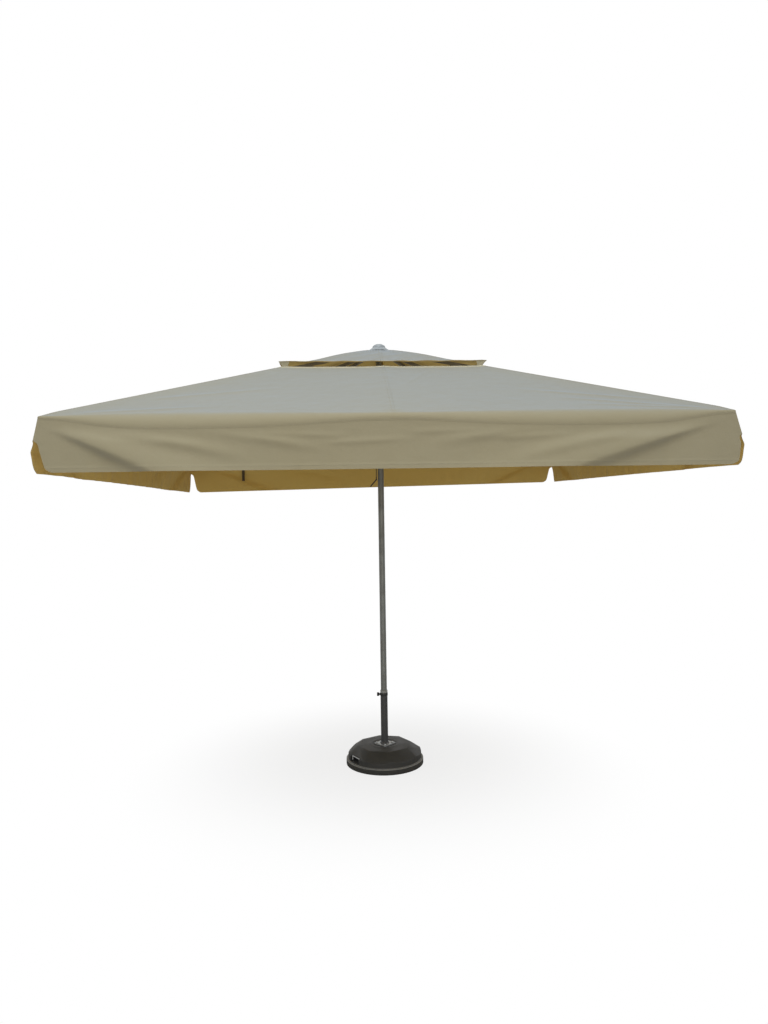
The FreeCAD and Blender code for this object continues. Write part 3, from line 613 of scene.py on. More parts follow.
# ------------------------------------------------------------------ hard pieces
@dataclass(frozen=True)
class HardPart:
    """How one rigid CAD node is finished: its material and edge rounding."""

    MERGE = 2e-5
    FLAT = math.radians(0.6)
    BEVELLED = math.radians(28.0)
    SHARP = math.radians(32.0)

    node: str
    finish: Finish
    slot: str
    round: float = 0.0
    segments: int = 2

    def dress(self, body: str) -> None:
        """Show the node itself, or a copy of it with rounded edges.

        Args:
            body: The body that the node belongs to.
        """
        source = frame["nodes"][self.node]
        if not self.round:
            for slot in source.material_slots:
                slot.material = Workshop.material(self.finish)
            report(source, body)
            return
        mesh = source.data.copy()
        shape = bmesh.new()
        shape.from_mesh(mesh)
        bmesh.ops.remove_doubles(shape, verts=shape.verts, dist=self.MERGE)
        bmesh.ops.dissolve_limit(shape, angle_limit=self.FLAT, verts=shape.verts,
                                 edges=shape.edges, delimit=set())
        shape.to_mesh(mesh)
        shape.free()
        if "custom_normal" in mesh.attributes:
            mesh.attributes.remove(mesh.attributes["custom_normal"])
        copy = add_object(f"soft_{self.node}", mesh)
        bevel = copy.modifiers.new("round", "BEVEL")
        bevel.width = self.round
        bevel.segments = self.segments
        bevel.limit_method = "ANGLE"
        bevel.angle_limit = self.BEVELLED
        bevel.use_clamp_overlap = True
        made = plain_mesh(copy)
        copy.modifiers.clear()
        copy.data = made
        made.shade_smooth()
        made.set_sharp_from_angle(angle=self.SHARP)
        Workshop.dress(copy, self.finish)
        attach(copy, body)
        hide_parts(self.node)
        report(copy, body)


def skin(shape: bmesh.types.BMesh, rings: Sequence[Sequence[bmesh.types.BMVert]]) -> None:
    """Cover rings of equal count with faces, and close both ends."""
    for low, high in zip(rings, rings[1:]):
        for k in range(len(low)):
            after = (k + 1) % len(low)
            shape.faces.new((low[k], low[after], high[after], high[k]))
    shape.faces.new(rings[0][::-1])
    shape.faces.new(rings[-1])


def sweep(name: str, path: Sequence[Vector], radius: float, sides: int = 8) -> bpy.types.Object:
    """A round tube along points, closed at both ends.

    Args:
        name: The object's name.
        path: The points it follows.
        radius: The tube's radius.
        sides: Sides of its section.

    Returns:
        The new object.
    """
    shape = bmesh.new()
    rings = []
    normal = None
    for i, at in enumerate(path):
        ahead = (path[min(i + 1, len(path) - 1)] - path[max(i - 1, 0)]).normalized()
        if normal is None:
            normal = ahead.orthogonal().normalized()
        normal = (normal - ahead * normal.dot(ahead)).normalized()
        side = ahead.cross(normal)
        rings.append([
            shape.verts.new(at + radius * (math.cos(a) * normal + math.sin(a) * side))
            for a in (math.tau * k / sides for k in range(sides))
        ])
    skin(shape, rings)
    mesh = bpy.data.meshes.new(name)
    shape.to_mesh(mesh)
    shape.free()
    mesh.shade_smooth()
    return add_object(name, mesh)


# ------------------------------------------------------------------ sewing
class StitchRows:
    """A Geometry Nodes tree that lays stitches along edge paths."""

    PITCH = 0.0075
    LENGTH = PITCH * 0.64
    THICKNESS = 0.0007
    SIDES = 4

    def __init__(self) -> None:
        """Build the tree: resample a path, put one short stitch at each point, realise."""
        self.group = bpy.data.node_groups.new("stitch_rows", "GeometryNodeTree")
        face = self.group.interface
        face.new_socket("Path", in_out="INPUT", socket_type="NodeSocketGeometry")
        self.sockets = {}
        for name, kind in (("Pitch", "NodeSocketFloat"), ("Length", "NodeSocketFloat"),
                           ("Thickness", "NodeSocketFloat"), ("Thread", "NodeSocketMaterial")):
            self.sockets[name] = face.new_socket(name, in_out="INPUT", socket_type=kind).identifier
        face.new_socket("Stitches", in_out="OUTPUT", socket_type="NodeSocketGeometry")
        add = Tree(self.group).node
        given = add("NodeGroupInput").outputs
        curve = add("GeometryNodeMeshToCurve", None, {0: given["Path"]})
        spaced = add("GeometryNodeResampleCurve", {"mode": "LENGTH"},
                     {"Curve": curve.outputs[0], "Length": given["Pitch"]})
        points = add("GeometryNodeCurveToPoints", {"mode": "EVALUATED"}, {"Curve": spaced.outputs[0]})
        stitch = add("GeometryNodeMeshCylinder", {"fill_type": "NGON"},
                     {"Vertices": self.SIDES, "Radius": 0.5, "Depth": 1.0})
        sized = add("ShaderNodeCombineXYZ", None,
                    {"X": given["Thickness"], "Y": given["Thickness"], "Z": given["Length"]})
        aimed = add("FunctionNodeAlignRotationToVector", {"axis": "Z"},
                    {"Vector": points.outputs["Tangent"]})
        placed = add("GeometryNodeInstanceOnPoints", None,
                     {"Points": points.outputs["Points"], "Instance": stitch.outputs["Mesh"],
                      "Rotation": aimed.outputs[0], "Scale": sized.outputs[0]})
        real = add("GeometryNodeRealizeInstances", None, {0: placed.outputs[0]})
        dressed = add("GeometryNodeSetMaterial", None,
                      {"Geometry": real.outputs[0], "Material": given["Thread"]})
        add("NodeGroupOutput", None, {0: dressed.outputs[0]})

    def sew(self, rows: Sequence[np.ndarray]) -> bpy.types.Mesh:
        """Stitches along rows of points.

        Args:
            rows: The points of each row, in order.

        Returns:
            A mesh of all the stitches.
        """
        points, edges = [], []
        for row in rows:
            first = len(points)
            points += [tuple(p) for p in row]
            edges += [(first + k, first + k + 1) for k in range(len(row) - 1)]
        path = bpy.data.meshes.new("stitch_path")
        path.from_pydata(points, edges, [])
        carrier = add_object("stitch_carrier", path)
        nodes = carrier.modifiers.new("sew", "NODES")
        nodes.node_group = self.group
        for name, size in (("Pitch", self.PITCH), ("Length", self.LENGTH),
                           ("Thickness", self.THICKNESS), ("Thread", Workshop.material(THREAD))):
            nodes[self.sockets[name]] = size
        made = plain_mesh(carrier)
        bpy.data.objects.remove(carrier)
        return made


# ------------------------------------------------------------------ cloth panels
def edge_turn(along: np.ndarray) -> np.ndarray:
    """How far below its corner line the roof's edge stands upright: least at the ribs."""
    by_corner = 1.0 - bell(EDGE - np.abs(along), CORNER_REACH)
    by_middle = 1.0 - MIDDLE_SHARE * bell(along, MIDDLE_REACH)
    return EDGE_LEAST + EDGE_ROUND * by_corner * by_middle


def smooth(value: np.ndarray, low: float, high: float) -> np.ndarray:
    """A smooth step from nought at low to one at high."""
    share = np.clip((value - low) / (high - low), 0.0, 1.0)
    return share * share * (3.0 - 2.0 * share)


def bell(value: np.ndarray, width: float) -> np.ndarray:
    """A bell curve of this width."""
    return np.exp(-((value / width) ** 2))


@dataclass(frozen=True)
class Crease:
    """A soft fold along a straight line on a panel, in the panel's own two coordinates.

    A plain fold fades at both ends. A drape starts narrow and spreads, steep on its upper side.
    """

    SLACK = 2.6

    start: tuple[float, float]
    end: tuple[float, float]
    height: float
    width: float
    drape: bool = False

    def lift(self, a: np.ndarray, b: np.ndarray) -> np.ndarray:
        """How far the fold lifts each point.

        Args:
            a: First coordinate of each point.
            b: Second coordinate of each point.

        Returns:
            The lift in metres.
        """
        line = np.subtract(self.end, self.start)
        long = float(np.hypot(*line))
        way = line / long
        da, db = a - self.start[0], b - self.start[1]
        along = (da * way[0] + db * way[1]) / long
        across = (db * way[0] - da * way[1]) * math.copysign(1.0, way[0])
        if self.drape:
            spread = self.width * (0.3 + 0.7 * np.clip(along, 0.0, 1.1))
            slack = bell(across, spread * self.SLACK)
            return self.height * smooth(along, 0.02, 0.75) * np.where(
                across > 0.0, bell(across, spread), slack
            )
        taper = smooth(along, 0.0, 0.3) * (1.0 - smooth(along, 0.6, 1.0))
        return self.height * taper * bell(across, self.width)


@dataclass
class Panel:
    """A cloth panel as a grid of points with an outer face, an inner face and closed edges."""

    name: str
    outer: np.ndarray
    inner: np.ndarray
    weave: np.ndarray
    finishes: tuple[Finish, Finish] = (OUTER, INNER_PAINTED_GLOW)
    rows: list[np.ndarray] = field(default_factory=list)
    hem: tuple[int, int] = (0, 0)
    ring: bool = False

    def make(self, stitches: StitchRows | None) -> bpy.types.Object:
        """Build the panel's mesh and sew its rows of stitches on.

        Args:
            stitches: The stitch maker, or None where the panel has no rows.

        Returns:
            The new object.
        """
        count, wide = self.outer.shape[:2]
        size = count * wide
        index = np.arange(size).reshape(count, wide)
        if self.ring:
            index = np.concatenate([index, index[:, :1]], 1)
        quads = np.stack([index[:-1, :-1], index[1:, :-1], index[1:, 1:], index[:-1, 1:]], -1)
        quads = quads.reshape(-1, 4)
        points = np.concatenate([self.outer.reshape(-1, 3), self.inner.reshape(-1, 3)])
        mid = quads[len(quads) // 2]
        cross = np.cross(points[mid[1]] - points[mid[0]], points[mid[3]] - points[mid[0]])
        if cross @ (points[mid[0]] - points[mid[0] + size]) < 0:
            quads = quads[:, ::-1]
        lining = quads[:, ::-1] + size
        edges = np.concatenate([
            np.stack([quads[:, k], quads[:, (k + 1) % 4]], -1) for k in range(4)
        ])
        keys = np.sort(edges, 1) @ np.array([size, 1])
        _, where, seen = np.unique(keys, return_index=True, return_counts=True)
        border = edges[where[seen == 1]]
        rim = np.stack([border[:, 1], border[:, 0], border[:, 0] + size, border[:, 1] + size], -1)
        faces = np.concatenate([quads, lining, rim])
        mesh = bpy.data.meshes.new(self.name)
        mesh.from_pydata(points.tolist(), [], faces.tolist())
        slots = np.zeros(len(faces), np.int32)
        slots[len(quads):2 * len(quads)] = 1
        slots[:len(quads)].reshape(count - 1, -1)[slice(*self.hem)] = 3
        mesh.polygons.foreach_set("material_index", slots)
        mesh.shade_smooth()
        flat = np.concatenate([self.weave.reshape(-1, 2)] * 2)[faces.ravel()]
        mesh.uv_layers.new(name="weave").uv.foreach_set("vector", flat.ravel().astype(np.float32))
        hard = {tuple(e) for e in np.sort(np.concatenate([border, border + size]), 1).tolist()}
        sharp = mesh.attributes.new("sharp_edge", "BOOLEAN", "EDGE")
        sharp.data.foreach_set("value", [tuple(sorted(e.vertices)) in hard for e in mesh.edges])
        obj = add_object(self.name, mesh)
        Workshop.dress(obj, *self.finishes, THREAD, HEM)
        if self.rows and stitches is not None:
            self._join(obj, stitches.sew(self.rows))
        return obj

    @staticmethod
    def _join(obj: bpy.types.Object, sewn: bpy.types.Mesh) -> None:
        """Add the stitches' mesh to the panel's, in the thread's slot."""
        shape = bmesh.new()
        shape.from_mesh(obj.data)
        before = len(shape.faces)
        shape.from_mesh(sewn)
        shape.faces.ensure_lookup_table()
        for face in shape.faces[before:]:
            face.material_index = 2
            face.smooth = True
        shape.to_mesh(obj.data)
        shape.free()
        bpy.data.meshes.remove(sewn)


class Side(Enum):
    """The four sides of the square, by the bearing of their middle."""

    RIGHT = 0
    BACK = 90
    LEFT = 180
    FRONT = 270

    @property
    def out(self) -> np.ndarray:
        """Unit vector out of the side."""
        turn = math.radians(self.value)
        return np.array([round(math.cos(turn)), round(math.sin(turn)), 0.0])

    @property
    def along(self) -> np.ndarray:
        """Unit vector along the side, to the left as seen from the pole."""
        return np.array([-self.out[1], self.out[0], 0.0])

    @property
    def key(self) -> str:
        """The side's name in the model."""
        return self.name.lower()


class Corner(Enum):
    """The four corners, by the bearing of their rib."""

    BACK_RIGHT = 45
    BACK_LEFT = 135
    FRONT_LEFT = 225
    FRONT_RIGHT = 315

    @property
    def key(self) -> str:
        """The corner's name in the model."""
        return self.name.lower()

    @property
    def across(self) -> tuple[float, float, float]:
        """Unit vector square to the corner's rib, level."""
        turn = math.radians(self.value)
        return (-math.sin(turn), math.cos(turn), 0.0)

    @property
    def sides(self) -> tuple[Side, Side]:
        """The side before the corner and the side after it, going round."""
        return Side((self.value - 45) % 360), Side((self.value + 45) % 360)

    @property
    def halves(self) -> tuple[tuple[Side, float], ...]:
        """Its two sides, each with the end of the side that the corner is at."""
        before, after = self.sides
        return (before, 1.0), (after, -1.0)


def world(side: Side, out: np.ndarray, along: np.ndarray, up: np.ndarray) -> np.ndarray:
    """Points of a side from its own three coordinates."""
    return (out[..., None] * side.out + along[..., None] * side.along
            + up[..., None] * UP)


@dataclass(frozen=True)
class Cut:
    """Where a strip's columns run: close together by the rib, then spread to the strip's edge."""

    near: tuple[float, ...] = (0.0, 0.004, 0.009, 0.016, 0.026, 0.038)
    narrow: float = 0.1
    spread: int = 46

    def mid(self, radius: np.ndarray) -> np.ndarray:
        """Columns of a strip on a middle rib.

        Args:
            radius: Distance of each row from the middle of the square.

        Returns:
            Distance along the side, for each row and column.
        """
        edge = radius[:, None] * TAN_OCTANT
        near = np.array(self.near)[None, :] * np.minimum(1.0, edge / self.narrow)
        share = np.linspace(0.0, 1.0, self.spread + 1)[None, 1:]
        half = np.concatenate([near, near[:, -1:] + (edge - near[:, -1:]) * share], 1)
        return np.concatenate([-half[:, :0:-1], half], 1)

    def beside_hip(self, radius: np.ndarray) -> np.ndarray:
        """Columns of half a corner strip, from its edge to the hip.

        Args:
            radius: Distance of each row from the middle of the square.

        Returns:
            Distance along the side, for each row and column.
        """
        hip, edge = radius[:, None], radius[:, None] * TAN_OCTANT
        step = ROOT_TWO * np.minimum(1.0, edge / self.narrow)
        near = hip - np.array(self.near)[None, ::-1] * step
        share = np.linspace(0.0, 1.0, self.spread + 1)[None, :-1]
        return np.concatenate([edge + (near[:, :1] - edge) * share, near], 1)


@dataclass(frozen=True)
class ClothCut:
    """The flat size that a piece of cloth was cut to, and its area where it isn't a rectangle."""

    width: float
    length: float
    area: float | None = None


@dataclass(frozen=True)
class CanopySheet:
    """A square cloth pitched over the eight ribs: what the roof and the cap share.

    Its height falls from the apex by fall for each metre out. The stitch rows beside a rib run
    between the two ends of seam, and the row round the hem lies hem_seam from the hem's edge.
    """

    cloth: float = 0.0012
    stretch: float = 1.076
    keep: float = 0.115
    apex: float = 2.625
    fall: float = 0.398
    hem_lift: float = 0.0008
    hem_rows: tuple[int, int] = (0, 4)
    seam: tuple[float, float] = (0.56, 1.49)
    hem_seam: float = 0.021
    gather_up: float = 2.2
    mid_cut: ClothCut = ClothCut(1.243, 1.04, 0.882)
    corner_cut: ClothCut = ClothCut(0.879, 1.04, 0.625)
    cut: Cut = Cut()

    def rows(self) -> np.ndarray:
        """Row positions, from the inner edge outwards."""
        raise NotImplementedError

    def points(self, side: Side, radius: np.ndarray, along: np.ndarray,
               depth: float) -> np.ndarray:
        """Points of the cloth on one side, a depth inside its outer face."""
        raise NotImplementedError

    def weave(self, radius: np.ndarray, along: np.ndarray) -> np.ndarray:
        """Warp and weft lengths, in metres."""
        return np.stack([along, radius * self.stretch], -1)

    def strip(self, name: str, side: Side, along: np.ndarray, rows: Sequence[tuple]) -> Panel:
        """A strip of the cloth, or half of one that lies on a corner rib.

        Args:
            name: The piece's name.
            side: The side that it lies on.
            along: Where its columns run, for each row.
            rows: Stitch rows, each the radius and along arrays that it follows.

        Returns:
            The strip as a panel.
        """
        grid = self.rows()[:, None] * np.ones_like(along)
        return Panel(
            name, self.points(side, grid, along, 0.0), self.points(side, grid, along, self.cloth),
            self.weave(grid, along),
            rows=[self.points(side, r, a, -STITCH_PROUD) for r, a in rows],
            hem=self.hem_rows,
        )

    def mid_panel(self, name: str, side: Side, rows: Sequence[tuple]) -> Panel:
        """The strip on a middle rib.

        Args:
            name: The piece's name.
            side: Its side.
            rows: Its stitch rows.

        Returns:
            The strip as a panel.
        """
        return self.strip(name, side, self.cut.mid(np.minimum(self.rows(), EDGE)), rows)

    def corner_panel(self, name: str, side: Side, sign: float, rows: Sequence[tuple]) -> Panel:
        """One side's half of the strip on a corner rib, up to the hip.

        Args:
            name: The piece's name.
            side: The side that it lies on.
            sign: Which end of the side the corner is at.
            rows: Its stitch rows, as they run at the side's far end.

        Returns:
            The half strip as a panel.
        """
        along = sign * self.cut.beside_hip(np.minimum(self.rows(), EDGE))
        return self.strip(name, side, along, [(r, sign * a) for r, a in rows])

    def gather_way(self, side: Side, sign: float) -> tuple[float, ...]:
        """The way in which half a corner strip gathers: within the cloth, square to the hip.

        Args:
            side: The side that it lies on.
            sign: Which end of the side the corner is at.

        Returns:
            A unit vector.
        """
        down = side.out + side.along * sign - UP * self.fall
        face = side.out * self.fall + UP
        way = np.cross(down, face)
        return tuple((way / np.linalg.norm(way)).tolist())


@dataclass(frozen=True)
class Roof(CanopySheet):
    """The main canopy: one continuous sheet, in a strip on each middle rib and two half strips
    on each corner rib.

    Every rib lifts the cloth by ridges, each a height and a width, and between two ribs it sags.
    """

    vent: float = 0.55
    hem: float = 0.026
    sag: float = 0.009
    ridges: tuple[tuple[float, float], ...] = ((0.0012, 0.010), (0.0035, 0.055))
    tuck: float = 0.0005
    turn_rows: tuple[float, ...] = (0.046, 0.040, 0.034, 0.030, 0.026, 0.021, 0.016, 0.012,
                                    0.008, 0.005, 0.0025, 0.0, -0.004, -LIP)
    creases: tuple[tuple[Side, Crease], ...] = ()

    def rows(self) -> np.ndarray:
        """Row positions, from the vent's hem to the lip under the edge."""
        hem = self.vent + np.array([0.0, 0.008, 0.016, self.hem - HEM_STEP, self.hem])
        sheet = np.linspace(self.vent + self.hem, EDGE - 0.052, 84)[1:]
        return np.concatenate([hem, sheet, EDGE - np.array(self.turn_rows)])

    def height(self, side: Side, out: np.ndarray, along: np.ndarray) -> np.ndarray:
        """Height of the outer face over a point of one side.

        Args:
            side: The side.
            out: Distance out from the middle.
            along: Distance along the side.

        Returns:
            The height in metres.
        """
        share = np.clip(np.abs(along) / out, 0.0, 1.0)
        down = np.clip((out - self.vent) / (EDGE - self.vent), 0.0, 1.0)
        hollow = self.sag * np.sin(np.pi * down) ** 0.8 * (4.0 * share * (1.0 - share))
        hip = np.abs(out - np.abs(along)) / ROOT_TWO
        ridge = sum(sum(lift * bell(away, width) for lift, width in self.ridges)
                    for away in (along, hip))
        folds = np.zeros_like(out)
        for where, crease in self.creases:
            if where == side:
                folds = folds + crease.lift(along, out)
        band = self.vent + self.hem
        hemmed = self.hem_lift * (1.0 - smooth(out, band - HEM_STEP, band))
        return (self.apex - self.fall * out - hollow + ridge * smooth(EDGE - out, 0.0, 0.06)
                + folds * smooth(hip, 0.0, 0.02) + hemmed)

    def points(self, side: Side, radius: np.ndarray, along: np.ndarray,
               depth: float) -> np.ndarray:
        """Points of the roof, its edge turned down and its lip over the valance.

        Args:
            side: The side.
            radius: Row positions; past the edge they count down the lip.
            along: Column positions.
            depth: How far inside the outer face.

        Returns:
            The points.
        """
        slope = math.atan(self.fall)
        to_upright = math.pi / 2.0 - slope
        turn = edge_turn(along)
        bend = turn / math.tan(to_upright / 2.0)
        start = EDGE - turn * math.cos(slope)
        share = np.clip((radius - start) / (EDGE - start), 0.0, 1.0)
        flat = np.minimum(radius, start)
        angle = slope + to_upright * share
        turning = share > 0.0
        out = np.where(turning, EDGE - bend + (bend - depth) * np.sin(angle), flat)
        if depth <= 0.0:
            out = out - self.tuck * smooth(radius, EDGE, EDGE + LIP)
        height = self.height(side, flat, along)
        loose = height - (self.apex - self.fall * flat)
        arc = self.apex - self.fall * EDGE - turn + (bend - depth) * np.cos(angle)
        up = np.where(turning, arc + loose * (1.0 - share), height - depth)
        row = np.minimum(radius, EDGE)
        sideways = along + np.sign(along) * (out - row) * (np.abs(along) / row) ** 4
        return world(side, out, sideways, up - np.maximum(radius - EDGE, 0.0))


@dataclass(frozen=True)
class Cap(CanopySheet):
    """The vent cap: a small square sheet that sweeps up to the finial.

    The sweep is a polynomial in the share of the way from its edge to the pole.
    """

    keep: float = 0.2
    apex: float = 2.604
    fall: float = 0.298
    hem_rows: tuple[int, int] = (43, 48)
    seam: tuple[float, float] = (0.08, 0.57)
    hem_seam: float = 0.018
    gather_up: float = 2.5
    mid_cut: ClothCut = ClothCut(0.478, 0.565, 0.147)
    corner_cut: ClothCut = ClothCut(0.338, 0.565, 0.1035)
    half: float = 0.577
    crown: float = 0.05
    edge_height: float = 2.432
    hem: float = 0.024
    sag: float = 0.005
    ripple: float = 0.0012
    sweep: tuple[float, ...] = (-3.75845, 11.34946, -12.96773, 6.63454, -1.26389, 0.17787, 0.0)

    def rows(self) -> np.ndarray:
        """Row positions, from the crown to the hem."""
        hem = self.half - np.array([self.hem, self.hem - HEM_STEP, 0.016, 0.008, 0.003, 0.0])
        return np.concatenate([np.linspace(self.crown, self.half - self.hem, 44)[:-1], hem])

    def height(self, out: np.ndarray, along: np.ndarray) -> np.ndarray:
        """Height of the outer face.

        Args:
            out: Distance out from the middle.
            along: Distance along the side.

        Returns:
            The height in metres.
        """
        rise = np.clip(1.0 - out / self.half, 0.0, 1.0)
        hip = np.abs(out - np.abs(along)) / ROOT_TWO
        share = np.abs(along) / np.maximum(out, 1e-6)
        hollow = self.sag * np.sin(np.pi * rise) * (4.0 * share * (1.0 - share))
        ripple = self.ripple * np.sin(along * 41.0 + out * 23.0) * np.sin(out * 31.0 - 1.0)
        band = self.half - self.hem
        hemmed = self.hem_lift * smooth(out, band, band + HEM_STEP)
        return (self.edge_height + np.polyval(self.sweep, rise) - hollow
                + ripple * smooth(hip, 0.0, 0.02) + hemmed)

    def points(self, side: Side, radius: np.ndarray, along: np.ndarray,
               depth: float) -> np.ndarray:
        """Points of the cap on one side, a depth under its outer face."""
        return world(side, radius, along, self.height(radius, along) - depth)


@dataclass(frozen=True)
class Kick:
    """How one corner's seam and its two loose legs stand out of square, down their drop."""

    corner: Corner
    before_out: tuple[float, ...]
    before_along: tuple[float, ...]
    after_out: tuple[float, ...]
    after_along: tuple[float, ...]

    @property
    def legs(self) -> tuple[tuple, tuple]:
        """Each leg's side, the sign of the corner on it, and its two pulls."""
        pulls = ((self.before_out, self.before_along), (self.after_out, self.after_along))
        return tuple((*half, *pull) for half, pull in zip(self.corner.halves, pulls))


# A kick is given at these shares of the drop, and the notch between two corner legs by how far
# each leg stands back from the corner at a height above the hem.
KICK_SHARES = (0.0, 0.42, 0.62, 0.85, 1.0)
NOTCH_ROUND = 0.022
NOTCH_UP = (0.0, 0.030, 0.050, 0.075, 0.090, 0.104, 0.116, 0.124, 0.130, 0.134)
NOTCH_BACK = (0.045, 0.0385, 0.034, 0.0293, 0.026, 0.0232, 0.020, 0.0160, 0.011, 0.0)
LEVEL = 0.1             # up to here a border's rows lie level, and above it they follow its top
HEM_ROW = 0.02          # how wide a border is at this height sets the length of its stitches' row


@dataclass(frozen=True)
class Valance:
    """The hanging border: a middle strip on each side and two legs at each corner.

    It hangs from high to low, a little behind the roof's lip, and flares out towards its hem.
    Each ripple, kick and droop is a place and how strong it is there.
    """

    high: float = 2.0263
    low: float = 1.7903
    thick: float = 0.001
    behind: float = 0.0012
    tucked: float = 0.002
    hem: float = 0.022
    hem_lift: float = 0.0004
    hem_step: float = 0.0015
    hem_seam: float = 0.004
    keep: float = 0.07
    flare: float = 0.012
    rows: int = 28
    kick_out: float = 0.17
    kick_along: float = 0.11
    mid_cut: ClothCut = ClothCut(1.243, 0.24)
    corner_cut: ClothCut = ClothCut(0.88, 0.24)
    creases: tuple[tuple[Side, Crease], ...] = ()
    ripples: tuple[tuple[Side, float], ...] = ()
    kicks: tuple[Kick, ...] = ()
    droops: tuple[tuple[Corner, float], ...] = ()

    def down(self, height: np.ndarray) -> np.ndarray:
        """How far down the drop a height is: nought at the top, one at the hem."""
        return np.clip((self.high - height) / (self.high - self.low), 0.0, 1.0)

    def droop(self, side: Side, along: np.ndarray, height: np.ndarray) -> np.ndarray:
        """How much lower the cloth hangs than a level hem would have it.

        Args:
            side: The side.
            along: Distance along the side.
            height: Height of each point.

        Returns:
            The drop in metres, spread evenly from corner to corner.
        """
        ends = [dict(self.droops).get(Corner((side.value + turn) % 360), 0.0) for turn in (-45, 45)]
        return self.down(height) * np.interp(along, (-EDGE, EDGE), ends)

    def kick(self, side: Side, along: np.ndarray, height: np.ndarray,
             outward: bool) -> np.ndarray:
        """How far the corners' stiff seams pull the cloth out of square.

        Args:
            side: The side.
            along: Distance along the side.
            height: Height of each point.
            outward: Whether out of the side's plane, or else along it.

        Returns:
            The distance, in metres.
        """
        share = self.down(height)
        pull = np.zeros_like(along)
        for kick in self.kicks:
            for where, sign, out, aside in kick.legs:
                if where == side:
                    near = np.clip(EDGE - sign * along, 0.0, None)
                    size = np.interp(share, KICK_SHARES, (0.0, *(out if outward else aside)))
                    pull = pull + size * bell(near, self.kick_out if outward else self.kick_along)
        return pull

    def top(self, roof: Roof, along: np.ndarray) -> np.ndarray:
        """Height of the sewn top edge, tucked behind the roof's lip."""
        return roof.apex - roof.fall * EDGE - edge_turn(along) + self.tucked

    def swing(self, side: Side, along: np.ndarray, height: np.ndarray) -> np.ndarray:
        """How far the cloth hangs out of its plane.

        Args:
            side: The side.
            along: Distance along the side.
            height: Height of each point.

        Returns:
            The distance outwards, in metres.
        """
        drop = np.clip(self.high - height, 0.0, None)
        share = drop / (self.high - self.low)
        folds = np.zeros_like(along)
        for where, crease in self.creases:
            if where == side:
                folds = folds + crease.lift(along, drop)
        for where, size in self.ripples:
            if where == side:
                waves = (np.sin(along * 47.0 + side.value) + 0.7 * np.sin(along * 29.0 + 1.3)
                         + 0.5 * np.sin(along * 83.0 + 0.4 * side.value))
                folds = folds + size * 0.5 * waves * share ** 1.3
        corner = EDGE - np.abs(along)
        # The seam at a corner holds the top of the cloth still further along than its hem.
        free = smooth(corner, -0.02, 0.14) * (1.0 - share) + share * smooth(corner, -0.05, 0.05)
        below = drop - edge_turn(along) - LIP
        return (self.flare * share ** 2 + folds * smooth(below, -0.004, 0.06)) * free

    def face(self, side: Side, along: np.ndarray, height: np.ndarray, depth: float) -> np.ndarray:
        """Points of the cloth on one side.

        Args:
            side: The side.
            along: Distance along the side.
            height: Height of each point.
            depth: How far inside the outer face.

        Returns:
            The points.
        """
        band = self.low + self.hem
        hemmed = self.hem_lift * (1.0 - smooth(height, band, band + self.hem_step))
        outer = EDGE - self.behind + hemmed + self.swing(side, along, height)
        outer = outer + self.kick(side, along, height, True)
        sideways = along + np.sign(along) * self.kick(side, along, height, False)
        return world(side, outer - depth, sideways, height - self.droop(side, along, height))

    def panel(self, name: str, roof: Roof, side: Side, start: Callable, end: Callable,
              columns: int) -> Panel:
        """A strip or a leg between two upright edges.

        Args:
            name: The piece's name.
            roof: The roof that it hangs from.
            side: The side.
            start: Gives the first edge's place along the side at a height above the hem.
            end: Gives the last edge's place in the same way.
            columns: Columns of cloth.

        Returns:
            The panel.
        """
        folded = self.hem + self.hem_step
        tall = self.high - self.low
        up = np.concatenate([[0.0, 0.004, 0.010, 0.016, self.hem, folded],
                             np.linspace(folded, tall, self.rows)[1:]])[:, None]
        share = np.linspace(0.0, 1.0, columns + 1)[None, :]
        along = start(up) + (end(up) - start(up)) * share
        top = self.top(roof, along) - self.low
        lifted = np.where(up > LEVEL, LEVEL + (up - LEVEL) * (top - LEVEL) / (tall - LEVEL), up)
        height = self.low + lifted + 0.0 * along
        line = self.low + self.hem - self.hem_seam
        ends = [float(edge(np.array([[HEM_ROW]]))[0, 0]) for edge in (start, end)]
        row_along = np.linspace(*ends, columns + 1)[1:-1]
        sewn = self.face(side, row_along, np.full_like(row_along, line), -STITCH_PROUD)
        return Panel(name, self.face(side, along, height, 0.0),
                     self.face(side, along, height, self.thick),
                     np.stack([along, height], -1), rows=[sewn])

    @staticmethod
    def leg_end(up: np.ndarray) -> np.ndarray:
        """Where a corner leg ends: it parts from its twin below the seam."""
        rounded = NOTCH_ROUND * (1.0 - np.clip(up / NOTCH_ROUND, 0.0, 1.0)) ** 2
        return EDGE - Valance.behind - np.interp(up, NOTCH_UP, NOTCH_BACK) - rounded


@dataclass(frozen=True)
class VentWeb:
    """Sizes of a web at the vent's corner: it leans in as it comes down, and narrows."""

    top: float = 2.4316
    clear: float = 0.0002
    out: float = 0.574
    lean: float = 0.020
    width: float = 0.056
    taper: float = 0.032
    bow: float = 0.0025
    cloth: float = 0.001
    rows: int = 7
    columns: int = 13
    cut: ClothCut = ClothCut(0.112, 0.034, 0.00268)


